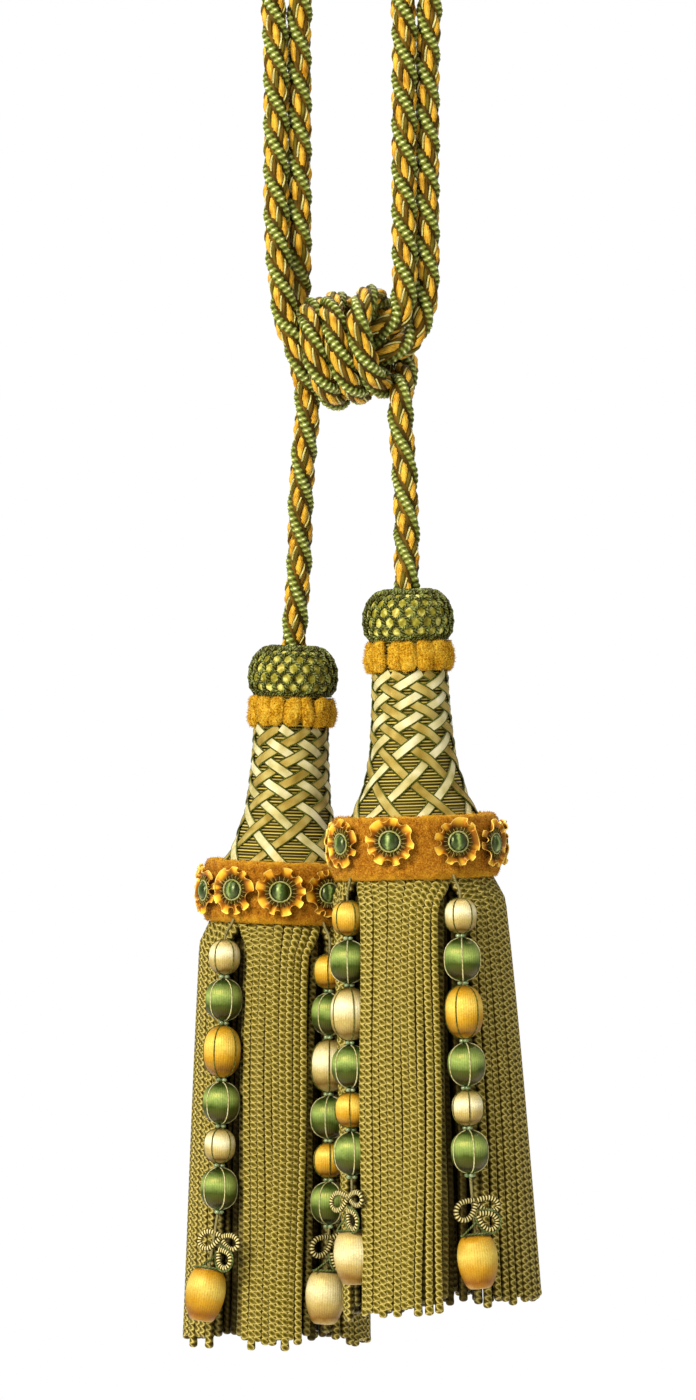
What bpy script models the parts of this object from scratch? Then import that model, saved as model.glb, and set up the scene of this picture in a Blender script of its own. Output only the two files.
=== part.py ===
# Curtain tieback: one laid rope, doubled over a hook and closed by a coiled knot, with a key
# tassel on each of its ends. Metres, +Z up, the front faces -Y and +X is to its right.
# The origin is where the hook carries the rope: the underside of the inner loop's top.
import bpy
import bmesh
import numpy as np
from collections import namedtuple
from math import cos, floor, pi, radians, sin, tan
from mathutils import Matrix, Vector
from mathutils.geometry import delaunay_2d_cdt

MM = 0.001
GAP = 0.3                      # clearance between pieces that touch on the real thing

# Rope, in mm. Sizes below are all in mm until a mesh is made.
ROPE_RADIUS = 5.4
ROPE_GROOVE = 4.3              # radius in the grooves between its four plies
ROPE_LAY = 36.0                # length of one turn of a ply in the loops and the knot
TAIL_LAY = 47.0                # and in the two tails, where the rope is pulled longer
KNOT_SQUEEZE = 0.86            # how much narrower the rope is pressed inside the knot
LOOP_SPRING = -14.35           # height at which the runs turn into the two loops over the hook
INNER_LOOP = 19.9              # radius of the inner loop
OUTER_LOOP = 31.3

# Knot: a barrel of three wraps round a bight of the rope.
KNOT_CENTRE = Vector((-0.5, 0.0, -158.3))
KNOT_RISE = radians(13)        # its axis climbs to the right
KNOT_TURN = radians(16)        # and its right end comes forward
WRAP_RADIUS = 18.5
WRAP_PITCH = 9.9
WRAPS = 3
WRAP_STEPS = 14                # route points in each wrap
BIGHT_RADIUS = 5.0             # half the distance between the bight's two legs
BIGHT_ENDS = (13.5, -6.7)      # along the barrel's axis, from its centre

# Tassel heads, shared by both tassels.
CAP_HEIGHT = 20.0
RUFF_HEIGHT = 12.2
NECK_CORE = 13.9               # radius of the mould where the ruff goes round it
RIM_RADIUS = 29.7              # radius of the mould inside the collar
COLLAR_HEIGHT = 24.0
COLLAR_INNER = 30.1
COLLAR_OUTER = 33.2
CAP_SIDES = 20
NECK_SIDES = 24               # also the collar's, so their facets lie parallel

# radius, height above the mould's lower edge of the cap
CAP_PROFILE = [(0.0, 19.0), (6.4, 19.0), (8.5, 20.0), (13.2, 18.2), (16.9, 13.4),
               (17.9, 8.0), (17.0, 2.8), (15.2, 0.0), (0.0, 0.0)]
# share of the neck's length below the ruff, radius
NECK_PROFILE = [(0.004, 15.0), (0.22, 15.4), (0.45, 16.4), (0.58, 17.2), (0.70, 18.8),
                (0.84, 21.2), (0.97, 24.8)]

# Skirt of bullion cords
CORD_RADIUS = 1.75
ROOT_RADIUS = 1.45
OUTER_SPACING = 3.5
INNER_COUNT = 36
INNER_STEP = 4.4               # how far the inner row lies inside the outer one
# depth below the collar, radius of the outer row
SKIRT_FALL = [(-1.2, 27.4), (9.0, 32.0), (70.0, 32.4), (176.0, 33.2)]
BEAD_CLEAR = 9.3               # an inner cord's centre keeps this far from a hanger's axis

# Rosette: ring of petals round a domed button, laid round the collar
PETAL_TIPS = 12
PETAL_RADIUS = (8.7, 9.9)
PETAL_RISE = (1.2, 2.4)
BUTTON_BASE = (4.7, 1.2)
BUTTON_TOP = (3.2, 3.6)
ROSETTE_SEAT = 0.6             # keeps its flat facets clear of the round collar

# Hangers: strings of satin-wrapped beads. Radius and height of each size of bead.
BEADS = {"small": (6.5, 13.8), "green": (7.5, 16.6), "large": (7.65, 20.8)}
HANGER_KINDS = {"yellow": ("small", "green", "large", "green", "small", "green"),
                "cream": ("small", "green", "large", "green", "small", "green")}
BEAD_SIDES = 8
BEAD_GAP = 1.9
THREAD_RADIUS = 0.9
HANGER_SLOPE = 0.01            # how the strings move out, a share of the way down
DROP_PROFILE = [(3.4, 0.0), (6.7, -2.8), (8.0, -8.4), (7.7, -14.2), (6.0, -19.6), (4.0, -21.8)]
# loop of a bow: along it, across it
BOW_LOOP = [(2.3, -1.2), (5.4, -3.5), (8.6, -2.6), (9.9, 0.0), (8.6, 2.6), (5.4, 3.5), (2.3, 1.2)]
BOW_HOLE = [(4.0, -1.2), (7.2, -1.3), (7.2, 1.3), (4.0, 1.2)]
BOW_THICKNESS = 1.8
BOW_ABOVE = 9.1                # of the bow's middle above the drop

# radius: of the string's axis at its first bead; first: the first bead's top below the collar;
# lean and drop_lean: to the right, in degrees; thread: the drop's; drop_out: its slope outward;
# parting: how far the outer cords keep away on each side, lower azimuths first
Hanger = namedtuple("Hanger", "azimuth kind radius first lean thread drop_lean drop_out parting")
# how far the cords at a side hang off at the hem, the azimuth of that side, the azimuth they go
# toward, and how narrow that side is
Swing = namedtuple("Swing", "amount side toward narrow")
EVEN = (8.7, 8.7)

# Each tassel: the middle of its cap's top, its lean to the right in degrees, the visible length of
# its neck, its skirt's length at the front and how much shorter that is at the right.
TASSELS = {
    "right": {
        "cap_top": Vector((22.0, -27.0, -255.6)), "lean": 1.9, "neck": 57.2,
        "hem": 170.5, "hem_slope": 3.5,
        "rosettes": (-57, -17, 28, 63, 100, 142, 194, 245),
        "hangers": (Hanger(26.0, "yellow", 37.7, 7.8, 0.4, 23.0, 2.4, 0.02, EVEN),
                    Hanger(142, "cream", 37.7, 9.0, 0.0, 23.5, 0.0, 0.02, EVEN),
                    Hanger(194, "yellow", 37.7, 9.0, 0.0, 23.5, 0.0, 0.02, EVEN),
                    Hanger(306, "cream", 34.2, 8.6, 0.0, 22.5, 0.0, 0.02, (9.8, 10.2))),
        "swings": (Swing(14.6, 90, 90, 1.5), Swing(6.0, -90, 90, 3.0)),
    },
    "left": {
        "cap_top": Vector((-23.2, 28.0, -277.6)), "lean": -1.9, "neck": 54.5,
        "hem": 168.5, "hem_slope": 0.0,
        "rosettes": (-69, -37, -3, 30, 75, 121, 168, 214, 254),
        "hangers": (Hanger(29.5, "cream", 37.7, 12.2, 0.4, 18.5, -3.4, 0.02, EVEN),
                    Hanger(121, "cream", 37.7, 9.0, 0.0, 23.5, 0.0, 0.02, EVEN),
                    Hanger(214, "yellow", 37.7, 9.0, 0.0, 23.5, 0.0, 0.02, EVEN),
                    Hanger(321.5, "yellow", 37.7, 9.0, 0.0, 24.6, -4.6, 0.08, EVEN)),
        "swings": (Swing(6.4, -90, -90, 1.5), Swing(3.2, 16, -90, 10.0)),
    },
}

# The rope's route through its hand-set points, in mm: x, y, z.
LEFT_TAIL = [(-22.1, 25.8, -259.2), (-21.0, 22.0, -243.2), (-20.4, 16.4, -219.2),
             (-19.0, 9.6, -199.2), (-17.6, 5.0, -184.0), (-18.0, 2.5, -174.8),
             (-19.9, -1.6, -165.6), (-22.6, -3.8, -156.2), (-26.2, -3.8, -147.8),
             (-27.8, -4.5, -137.2), (-30.0, -3.6, -124.0), (-31.0, -1.4, -109.2),
             (-31.3, 0.0, -91.2), (-31.3, 0.0, -55.2)]
OUTER_RIGHT = [(31.3, 0.0, -55.2), (31.3, 0.0, -91.2), (31.3, 0.0, -113.2),
               (31.4, 1.0, -126.4), (30.2, 3.0, -138.4), (27.0, 3.5, -148.8),
               (22.6, 1.0, -156.0)]
INNER_RIGHT = [(18.4, -4.0, -146.0), (20.0, -2.5, -139.2), (20.2, -1.0, -128.0),
               (19.9, 0.0, -111.2), (19.9, 0.0, -91.2), (19.9, 0.0, -55.2)]
INNER_LEFT = [(-19.9, 0.0, -55.2), (-19.9, 0.0, -91.2), (-19.9, 0.0, -112.4),
              (-19.9, 3.2, -124.8), (-20.5, 9.4, -135.2), (-20.0, 16.4, -142.4),
              (-15.6, 20.4, -151.0)]
RIGHT_TAIL = [(22.9, -7.6, -177.9), (21.2, -10.4, -187.6), (21.0, -12.6, -199.2),
              (21.3, -15.6, -212.4), (21.9, -21.0, -234.0)]


def material(name, colour, roughness):
    """Plain Principled material; colour is linear."""
    mat = bpy.data.materials.new(name)
    mat.use_nodes = True
    shader = mat.node_tree.nodes["Principled BSDF"]
    shader.inputs["Base Color"].default_value = (*colour, 1.0)
    shader.inputs["Roughness"].default_value = roughness
    mat.diffuse_color = (*colour, 1.0)
    return mat


def add_object(name, data, mat, smooth_angle=40):
    """Link an object for the data into the tieback's collection."""
    obj = bpy.data.objects.new(name, data)
    parts.objects.link(obj)
    if mat:
        data.materials.append(mat)
    if isinstance(data, bpy.types.Mesh):
        data.shade_smooth()
        data.set_sharp_from_angle(angle=radians(smooth_angle))
    return obj


def heading(azimuth):
    """Level direction at an azimuth in degrees: 0 is the front, 90 the right."""
    return Vector((sin(radians(azimuth)), -cos(radians(azimuth)), 0.0))


def blend(table, at):
    """Value at a place in a table of (place, value) rows."""
    return float(np.interp(at, [row[0] for row in table], [row[1] for row in table]))


def turned(name, profile, mat, place, sides, closed=False):
    """Turn a profile of (radius, height) in mm, listed down its outer side, round Z."""
    mesh = bpy.data.meshes.new(name)
    count = len(profile)
    edges = [(i, i + 1) for i in range(count - 1)]
    if closed:
        edges.append((count - 1, 0))
    mesh.from_pydata([(r * MM, 0.0, h * MM) for r, h in profile], edges, [])
    obj = add_object(name, mesh, mat)
    screw = obj.modifiers.new("Turn", "SCREW")
    screw.steps = screw.render_steps = sides
    screw.use_merge_vertices = True
    screw.merge_threshold = 0.00001
    obj.matrix_world = place
    return obj


def loft(name, rings, mat, ring_closed, tops=()):
    """Skin rings of points (mm): joined end to end, or closed by a fan at each point in tops."""
    bm = bmesh.new()
    loops = [[bm.verts.new(Vector(p) * MM) for p in ring] for ring in rings]
    pairs = list(zip(loops, loops[1:]))
    if ring_closed:
        pairs.append((loops[-1], loops[0]))
    for low, high in pairs:
        for i in range(len(low)):
            j = (i + 1) % len(low)
            bm.faces.new((low[i], low[j], high[j], high[i]))
    for ring, point in zip((loops[0], loops[-1]), tops):
        centre = bm.verts.new(Vector(point) * MM)
        for i in range(len(ring)):
            bm.faces.new((ring[i], ring[(i + 1) % len(ring)], centre))
    bmesh.ops.recalc_face_normals(bm, faces=bm.faces)
    mesh = bpy.data.meshes.new(name)
    bm.to_mesh(mesh)
    bm.free()
    return add_object(name, mesh, mat)


# ---------------------------------------------------------------- rope and knot

def barrel_frame():
    """The knot's axis, its upward direction across the axis, and its front."""
    axis = Vector((cos(KNOT_RISE) * cos(KNOT_TURN), -sin(KNOT_TURN),
                   sin(KNOT_RISE) * cos(KNOT_TURN)))
    upward = Vector((-sin(KNOT_RISE), 0.0, cos(KNOT_RISE)))
    return axis, upward, axis.cross(upward)


def wrap_point(turn):
    """Point of the wraps after so many turns: up the front, over the top and down the back."""
    axis, upward, front = barrel_frame()
    whole = floor(turn)
    part = turn - whole
    along = (whole - 1) * WRAP_PITCH + max(0.0, part - 0.5) * 2 * WRAP_PITCH
    angle = pi - 2 * pi * part
    return KNOT_CENTRE + axis * along + WRAP_RADIUS * (cos(angle) * upward + sin(angle) * front)


def bight_points():
    """The doubled end that the wraps go round: in low, round the end and out high."""
    axis, upward, _ = barrel_frame()
    start, end = BIGHT_ENDS
    legs = np.linspace(start, end, 4)
    low = [KNOT_CENTRE + axis * s - upward * BIGHT_RADIUS for s in legs]
    turn = [KNOT_CENTRE + axis * (end - BIGHT_RADIUS * sin(t)) - upward * BIGHT_RADIUS * cos(t)
            for t in (pi / 4, pi / 2, 3 * pi / 4)]
    high = [KNOT_CENTRE + axis * s + upward * BIGHT_RADIUS for s in reversed(legs)]
    return low + turn + high


def loop_points(radius, first_side):
    """Half circle over the hook, from the side -1 (left) or 1 (right)."""
    return [Vector((first_side * radius * cos(t), 0.0, LOOP_SPRING + radius * sin(t)))
            for t in np.linspace(0.0, pi, 9)]


def rope_sections():
    """The route from the left cap to the right one, as (points, width factor, lay)."""
    wraps = [wrap_point(i / WRAP_STEPS) for i in range(-3, WRAPS * WRAP_STEPS - 1)]
    first_end, above_first = cap_socket("left")
    last_end, above_last = cap_socket("right")
    return [
        ([first_end, above_first] + LEFT_TAIL[:5], 1.0, TAIL_LAY),
        (LEFT_TAIL[5:], 1.0, ROPE_LAY),
        (loop_points(OUTER_LOOP, -1), 1.0, ROPE_LAY),
        (OUTER_RIGHT, 1.0, ROPE_LAY),
        (bight_points(), KNOT_SQUEEZE, ROPE_LAY),
        (INNER_RIGHT, 1.0, ROPE_LAY),
        (loop_points(INNER_LOOP, 1), 1.0, ROPE_LAY),
        (INNER_LEFT, 1.0, ROPE_LAY),
        (wraps, KNOT_SQUEEZE, ROPE_LAY),
        (RIGHT_TAIL + [above_last, last_end], 1.0, TAIL_LAY),
    ]


def smooth_route(points, values, fineness=0.5):
    """Centripetal Catmull-Rom curve through the points; the values go with each stretch."""
    pts = [np.array(p, float) for p in points]
    pts = [2 * pts[0] - pts[1]] + pts + [2 * pts[-1] - pts[-2]]
    curve = []
    carried = []
    for i in range(1, len(pts) - 2):
        p0, p1, p2, p3 = pts[i - 1:i + 3]
        knots = np.cumsum([0.0] + [np.sqrt(np.linalg.norm(b - a))
                                   for a, b in ((p0, p1), (p1, p2), (p2, p3))])
        t0, t1, t2, t3 = knots
        steps = max(2, int(np.linalg.norm(p2 - p1) / fineness))
        for t in np.linspace(t1, t2, steps, endpoint=False):
            a1 = (t1 - t) / (t1 - t0) * p0 + (t - t0) / (t1 - t0) * p1
            a2 = (t2 - t) / (t2 - t1) * p1 + (t - t1) / (t2 - t1) * p2
            a3 = (t3 - t) / (t3 - t2) * p2 + (t - t2) / (t3 - t2) * p3
            b1 = (t2 - t) / (t2 - t0) * a1 + (t - t0) / (t2 - t0) * a2
            b2 = (t3 - t) / (t3 - t1) * a2 + (t - t1) / (t3 - t1) * a3
            curve.append((t2 - t) / (t2 - t1) * b1 + (t - t1) / (t2 - t1) * b2)
            carried.append(values[i - 1])
    curve.append(pts[-2])
    carried.append(values[-1])
    return np.array(curve), np.array(carried, float)


def soften(values, reach):
    """Running mean, so that a change of width or lay comes in gradually."""
    padded = np.pad(values, reach, mode="edge")
    return np.convolve(padded, np.ones(2 * reach + 1) / (2 * reach + 1), mode="valid")


def rope(mat):
    """Sweep the four-lobed section along the route, turning as the plies do."""
    points = []
    values = []
    for section, width, lay in rope_sections():
        points += section
        values += [(width, lay)] * len(section)
    curve, carried = smooth_route(points, values)
    length = np.concatenate([[0.0], np.cumsum(np.linalg.norm(np.diff(curve, axis=0), axis=1))])
    width = soften(carried[:, 0], 12)
    turns = np.concatenate([[0.0], np.cumsum(np.diff(length) / soften(carried[:, 1], 20)[1:])])
    tangent = np.gradient(curve, length, axis=0)
    bend = soften(np.linalg.norm(np.gradient(tangent, length, axis=0), axis=1), 8)
    # a step of 6 mm, down to 2.6 mm where the rope bends tightly
    step = np.clip(0.42 / np.maximum(bend, 1e-6), 2.6, 6.0)
    progress = np.concatenate([[0.0], np.cumsum(np.diff(length) / step[1:])])
    count = int(round(progress[-1]))
    stations = np.interp(np.linspace(0.0, progress[-1], count + 1), progress, length)

    section = bpy.data.curves.new("rope_section", "CURVE")
    section.dimensions = "2D"
    outline = section.splines.new("POLY")
    outline.points.add(7)
    outline.use_cyclic_u = True
    for i, point in enumerate(outline.points):
        radius = ROPE_RADIUS if i % 2 == 0 else ROPE_GROOVE
        angle = -2 * pi * i / 8
        point.co = (radius * cos(angle) * MM, radius * sin(angle) * MM, 0.0, 1.0)
    guide = bpy.data.objects.new("rope_section", section)
    guides.objects.link(guide)
    guide.hide_render = True
    guide.display_type = "WIRE"

    data = bpy.data.curves.new("rope", "CURVE")
    data.dimensions = "3D"
    data.twist_mode = "MINIMUM"
    data.bevel_mode = "OBJECT"
    data.bevel_object = guide
    data.use_fill_caps = True
    path = data.splines.new("POLY")
    path.points.add(len(stations) - 1)
    path.use_smooth = False
    for point, at in zip(path.points, stations):
        centre = [np.interp(at, length, curve[:, k]) * MM for k in range(3)]
        point.co = (*centre, 1.0)
        point.radius = float(np.interp(at, length, width))
        point.tilt = float(np.interp(at, length, turns)) * 2 * pi
    add_object("rope", data, mat)


# ---------------------------------------------------------------- tassel heads

def head_frame(name):
    """Frame of a tassel's head: origin at its cap's top, leaning with the head."""
    tassel = TASSELS[name]
    return (Matrix.Translation(tassel["cap_top"] * MM)
            @ Matrix.Rotation(-radians(tassel["lean"]), 4, "Y"))


def cap_socket(name):
    """Where the rope ends, just above the flat of the cap's socket, and a point above it."""
    place = head_frame(name)
    return [place @ Vector((0.0, 0.0, height * MM)) / MM for height in (GAP - 1.0, 6.0)]


def head_levels(tassel):
    """Heights in the head's frame, in mm, of the joins between its pieces."""
    ruff_top = -CAP_HEIGHT - GAP
    neck_top = ruff_top - RUFF_HEIGHT
    collar_top = neck_top - GAP - tassel["neck"]
    return ruff_top, neck_top - GAP, collar_top, collar_top - COLLAR_HEIGHT


def head(name, mats):
    """Cap, ruff, mould and collar of one tassel."""
    tassel = TASSELS[name]
    place = head_frame(name)
    ruff_top, neck_top, collar_top, collar_bottom = head_levels(tassel)
    cap = [(r, h - CAP_HEIGHT) for r, h in CAP_PROFILE]
    turned(name + "_cap", cap, mats["net"], place, CAP_SIDES)

    neck = [(0.0, ruff_top), (NECK_CORE, ruff_top), (NECK_CORE, neck_top)]
    neck += [(r, neck_top - share * tassel["neck"]) for share, r in NECK_PROFILE]
    neck += [(RIM_RADIUS, collar_top - 4.5), (RIM_RADIUS, collar_bottom + 6.5),
             (0.0, collar_bottom + 6.5)]
    turned(name + "_neck", neck, mats["mould"], place, NECK_SIDES)

    collar = [(26.9, collar_top), (29.5, collar_top + 0.3), (COLLAR_OUTER - 1.0, collar_top),
              (COLLAR_OUTER, collar_top - 6.0), (COLLAR_OUTER, collar_bottom + 4.0),
              (COLLAR_OUTER - 0.8, collar_bottom), (COLLAR_INNER, collar_bottom),
              (COLLAR_INNER, collar_top - 4.4)]
    turned(name + "_collar", collar, mats["velvet"], place, NECK_SIDES, closed=True)
    ruff(name, mats["chenille"], ruff_top, place)


def ruff(name, mat, top, place):
    """Ring of plump upright lobes round the mould, under the cap."""
    lobes = 12
    # radius on a lobe, radius between lobes, depth below the top
    rows = [(NECK_CORE + GAP, NECK_CORE + GAP, 0.2), (17.2, 16.2, 0.2), (18.0, 16.7, 4.4),
            (18.0, 16.7, 8.2), (16.9, 15.9, RUFF_HEIGHT), (NECK_CORE + GAP + 0.1,
                                                          NECK_CORE + GAP + 0.1, RUFF_HEIGHT)]
    rings = []
    for on_lobe, between, depth in rows:
        ring = []
        for i in range(2 * lobes):
            radius = on_lobe if i % 2 == 0 else between
            ring.append(heading(180.0 * i / lobes) * radius + Vector((0.0, 0.0, top - depth)))
        rings.append(ring)
    obj = loft(name + "_ruff", rings, mat, ring_closed=True)
    obj.matrix_world = place


def rosette(name, azimuth, level, mat, place):
    """Ruffled petals round a domed button, bent round the collar."""
    def on_collar(across, upward, rise):
        turn = azimuth + np.degrees(across / COLLAR_OUTER)
        return heading(turn) * (COLLAR_OUTER + ROSETTE_SEAT + rise) + Vector((0, 0, level + upward))

    rows = [((8.6, 8.6), (0.0, 0.0)), (PETAL_RADIUS, PETAL_RISE),
            ((BUTTON_BASE[0],) * 2, (BUTTON_BASE[1],) * 2), ((BUTTON_TOP[0],) * 2, (BUTTON_TOP[1],) * 2)]
    rings = []
    for radii, rises in rows:
        ring = []
        for i in range(PETAL_TIPS):
            angle = 2 * pi * i / PETAL_TIPS
            radius = radii[i % 2]
            ring.append(on_collar(radius * cos(angle), radius * sin(angle), rises[i % 2]))
        rings.append(ring)
    tops = (on_collar(0.0, 0.0, 0.0), on_collar(0.0, 0.0, BUTTON_TOP[1] + 0.5))
    obj = loft(name, rings, mat, ring_closed=False, tops=tops)
    obj.matrix_world = place


# ---------------------------------------------------------------- skirts

def outer_azimuths(tassel):
    """Azimuths of the outer cords, evenly spaced between the partings at the hangers."""
    radius = blend(SKIRT_FALL, 60.0)
    hangers = tassel["hangers"]
    azimuths = []
    for first, second in zip(hangers, hangers[1:] + hangers[:1]):
        start = first.azimuth + np.degrees(first.parting[1] / radius)
        end = second.azimuth - np.degrees(second.parting[0] / radius)
        end += 360 if end < start else 0
        count = int(radians(end - start) * radius / OUTER_SPACING) + 1
        azimuths += list(np.linspace(start, end, count))
    return azimuths


def swing_aside(tassel, azimuth, share):
    """How far the skirt hangs off to the sides, at a share of the way down to its hem."""
    aside = Vector((0.0, 0.0, 0.0))
    for swing in tassel["swings"]:
        nearness = max(0.0, cos(radians(azimuth - swing.side))) ** swing.narrow
        aside += heading(swing.toward) * swing.amount * nearness
    return aside * share ** 0.8


def hanger_slope(tassel, row):
    """Sideways slope of a string of beads."""
    slope = swing_aside(tassel, row.azimuth, 1.0) / tassel["hem"] + heading(row.azimuth) * HANGER_SLOPE
    return slope + Vector((tan(radians(row.lean)), 0.0, 0.0))


def clear_of_hangers(tassel, offset, depth):
    """Whether a place this far from the tassel's middle keeps off every string at that depth."""
    for row in tassel["hangers"]:
        axis = heading(row.azimuth) * row.radius + hanger_slope(tassel, row) * (depth - row.first)
        if (offset - axis).xy.length < BEAD_CLEAR:
            return False
    return True


def cord_centre(tassel, base, azimuth, depth, inward):
    """Where a skirt cord runs at a depth below the collar: flared, and swung aside."""
    share = max(0.0, depth) / tassel["hem"]
    radius = blend(SKIRT_FALL, depth) - inward
    aside = swing_aside(tassel, azimuth, share)
    return base + heading(azimuth) * radius + aside - Vector((0.0, 0.0, depth))


def skirt(name, mat):
    """Backing disc with its cords drawn down from the underside, three-sided each."""
    tassel = TASSELS[name]
    place = head_frame(name)
    collar_bottom = head_levels(tassel)[3]
    base = place @ Vector((0.0, 0.0, collar_bottom * MM)) / MM
    root_level = collar_bottom - SKIRT_FALL[0][0]
    disc_radius = RIM_RADIUS - 0.4
    rng = np.random.default_rng(7 if name == "right" else 11)

    cords = [(azimuth, 0.0) for azimuth in outer_azimuths(tassel)]
    for i in range(INNER_COUNT):
        azimuth = 360.0 * (i + 0.5) / INNER_COUNT
        inner = heading(azimuth) * (blend(SKIRT_FALL, 9.0) - INNER_STEP)
        if clear_of_hangers(tassel, inner, 9.0):
            cords.append((azimuth, INNER_STEP))

    def triangle(centre, azimuth, radius):
        # one flat side faces out
        return [centre + heading(azimuth + turn) * radius for turn in (60.0, 180.0, 300.0)]

    rim = [heading(360.0 * i / 24) * disc_radius for i in range(24)]
    flat = [Vector((p.x, p.y)) for p in rim]
    roots = []
    for azimuth, inward in cords:
        centre = heading(azimuth) * (SKIRT_FALL[0][1] - inward)
        corners = triangle(centre, azimuth, ROOT_RADIUS)
        roots.append([len(flat) + k for k in range(3)])
        flat += [Vector((p.x, p.y)) for p in corners]
    verts, _, faces, _, _, origins = delaunay_2d_cdt(flat, [], roots, 0, 1e-6, True)

    bm = bmesh.new()
    low = [bm.verts.new((v.x, v.y, root_level)) for v in verts]
    root_faces = {}
    for face, origin in zip(faces, origins):
        made = bm.faces.new([low[i] for i in reversed(face)])
        if origin:
            root_faces[origin[0]] = made
    boundary = [e for e in bm.edges if len(e.link_faces) == 1]
    raised = bmesh.ops.extrude_edge_only(bm, edges=boundary)["geom"]
    for vert in (g for g in raised if isinstance(g, bmesh.types.BMVert)):
        vert.co.z = collar_bottom + 6.5 - GAP
    bmesh.ops.contextual_create(bm, geom=[g for g in raised if isinstance(g, bmesh.types.BMEdge)])
    bmesh.ops.transform(bm, matrix=place, space=Matrix.Identity(4), verts=[])
    for vert in bm.verts:
        vert.co = (place @ (vert.co * MM)) / MM

    for index, (azimuth, inward) in enumerate(cords):
        face = root_faces[index]
        side = sin(radians(azimuth))
        end = tassel["hem"] - tassel["hem_slope"] * side + rng.uniform(-2.4, 2.4)
        for depth in (9.0, 70.0, end) if inward == 0.0 else (9.0, end):
            made = bmesh.ops.extrude_discrete_faces(bm, faces=[face])["faces"]
            face = made[0]
            centre = cord_centre(tassel, base, azimuth, depth, inward)
            corners = triangle(centre, azimuth, CORD_RADIUS)
            old = face.calc_center_median()
            for vert in face.verts:
                turn = vert.co - old
                vert.co = max(corners, key=lambda c: (c - centre).xy.dot(turn.xy))
    bmesh.ops.recalc_face_normals(bm, faces=bm.faces)
    bmesh.ops.scale(bm, vec=(MM, MM, MM), verts=bm.verts)
    mesh = bpy.data.meshes.new(name + "_skirt")
    bm.to_mesh(mesh)
    bm.free()
    add_object(name + "_skirt", mesh, mat)


# ---------------------------------------------------------------- hangers

def bead_profile(kind, thread_top):
    """Profile of a string of beads from the thread's top end down, from height 0."""
    profile = [(0.0, thread_top), (THREAD_RADIUS, thread_top), (THREAD_RADIUS, 0.0)]
    height = 0.0
    for size in HANGER_KINDS[kind]:
        radius, tall = BEADS[size]
        profile += [(0.36 * radius, height), (0.93 * radius, height - 0.24 * tall),
                    (0.93 * radius, height - 0.76 * tall), (0.36 * radius, height - tall)]
        height -= tall + BEAD_GAP
    bottom = height + BEAD_GAP
    return profile + [(0.0, bottom)], bottom


def hung(place, slope):
    """Frame at a place, with its -Z along the downward line that has this sideways slope."""
    down = Vector((slope.x, slope.y, -1.0))
    turn = Vector((0.0, 0.0, -1.0)).rotation_difference(down)
    return Matrix.Translation(place) @ turn.to_matrix().to_4x4()


def hanger(name, tassel_name, row, mats):
    """A string of beads, the bow on its thread and the drop at its end."""
    azimuth, kind = row.azimuth, row.kind
    tassel = TASSELS[tassel_name]
    _, _, collar_top, collar_bottom = head_levels(tassel)
    place = head_frame(tassel_name)
    first = heading(azimuth) * row.radius + Vector((0.0, 0.0, collar_bottom - row.first))
    # the thread runs up over the collar to the rosette, or else to the collar's lower edge
    over_collar = COLLAR_HEIGHT / 2 - max(PETAL_RADIUS) if row.radius > COLLAR_OUTER + 1.5 else 0.0
    thread_top = row.first + over_collar + (0.6 if over_collar else -0.4)
    profile, bottom = bead_profile(kind, thread_top)
    slope = hanger_slope(tassel, row)
    string_place = hung(place @ (first * MM), slope)
    turned(name + "_beads", profile, mats[kind], string_place, BEAD_SIDES)

    end = string_place @ Vector((0.0, 0.0, (bottom - 2 * GAP) * MM)) / MM
    drop = [(0.0, 0.0), (THREAD_RADIUS, 0.0), (THREAD_RADIUS, -row.thread)]
    drop += [(r, h - row.thread) for r, h in DROP_PROFILE]
    drop.append((0.0, DROP_PROFILE[-1][1] - row.thread))
    slope += heading(azimuth) * row.drop_out + Vector((tan(radians(row.drop_lean)), 0.0, 0.0))
    drop_place = hung(end * MM, slope)
    turned(name + "_drop", drop, mats[kind], drop_place, BEAD_SIDES)
    bow(name + "_bow", azimuth, drop_place, row.thread - BOW_ABOVE, mats["gimp"])


def bow(name, azimuth, drop_place, down, mat):
    """Three flat loops of gimp cord in front of the thread."""
    data = bpy.data.curves.new(name, "CURVE")
    data.dimensions = "2D"
    data.fill_mode = "BOTH"
    data.extrude = BOW_THICKNESS / 2 * MM
    outline = []
    holes = []
    for direction in (25.0, 172.0, 305.0):
        turn = Matrix.Rotation(radians(direction), 2)
        outline += [turn @ Vector(p) for p in BOW_LOOP]
        holes.append([turn @ Vector(p) for p in BOW_HOLE])
    for ring in [outline] + holes:
        spline = data.splines.new("POLY")
        spline.points.add(len(ring) - 1)
        spline.use_cyclic_u = True
        for point, p in zip(spline.points, ring):
            point.co = (p.x * MM, p.y * MM, 0.0, 1.0)
    obj = add_object(name, data, mat)
    out = THREAD_RADIUS + GAP + BOW_THICKNESS / 2
    facing = Matrix.Rotation(radians(azimuth), 4, "Z") @ Matrix.Rotation(radians(90), 4, "X")
    middle = heading(azimuth) * out * MM - Vector((0.0, 0.0, down * MM))
    obj.matrix_world = drop_place @ Matrix.Translation(middle) @ facing


# ---------------------------------------------------------------- build

for old in list(bpy.data.objects):
    bpy.data.objects.remove(old)
parts = bpy.data.collections.new("Curtain tieback")
guides = bpy.data.collections.new("Guides")
bpy.context.scene.collection.children.link(parts)
bpy.context.scene.collection.children.link(guides)

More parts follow.
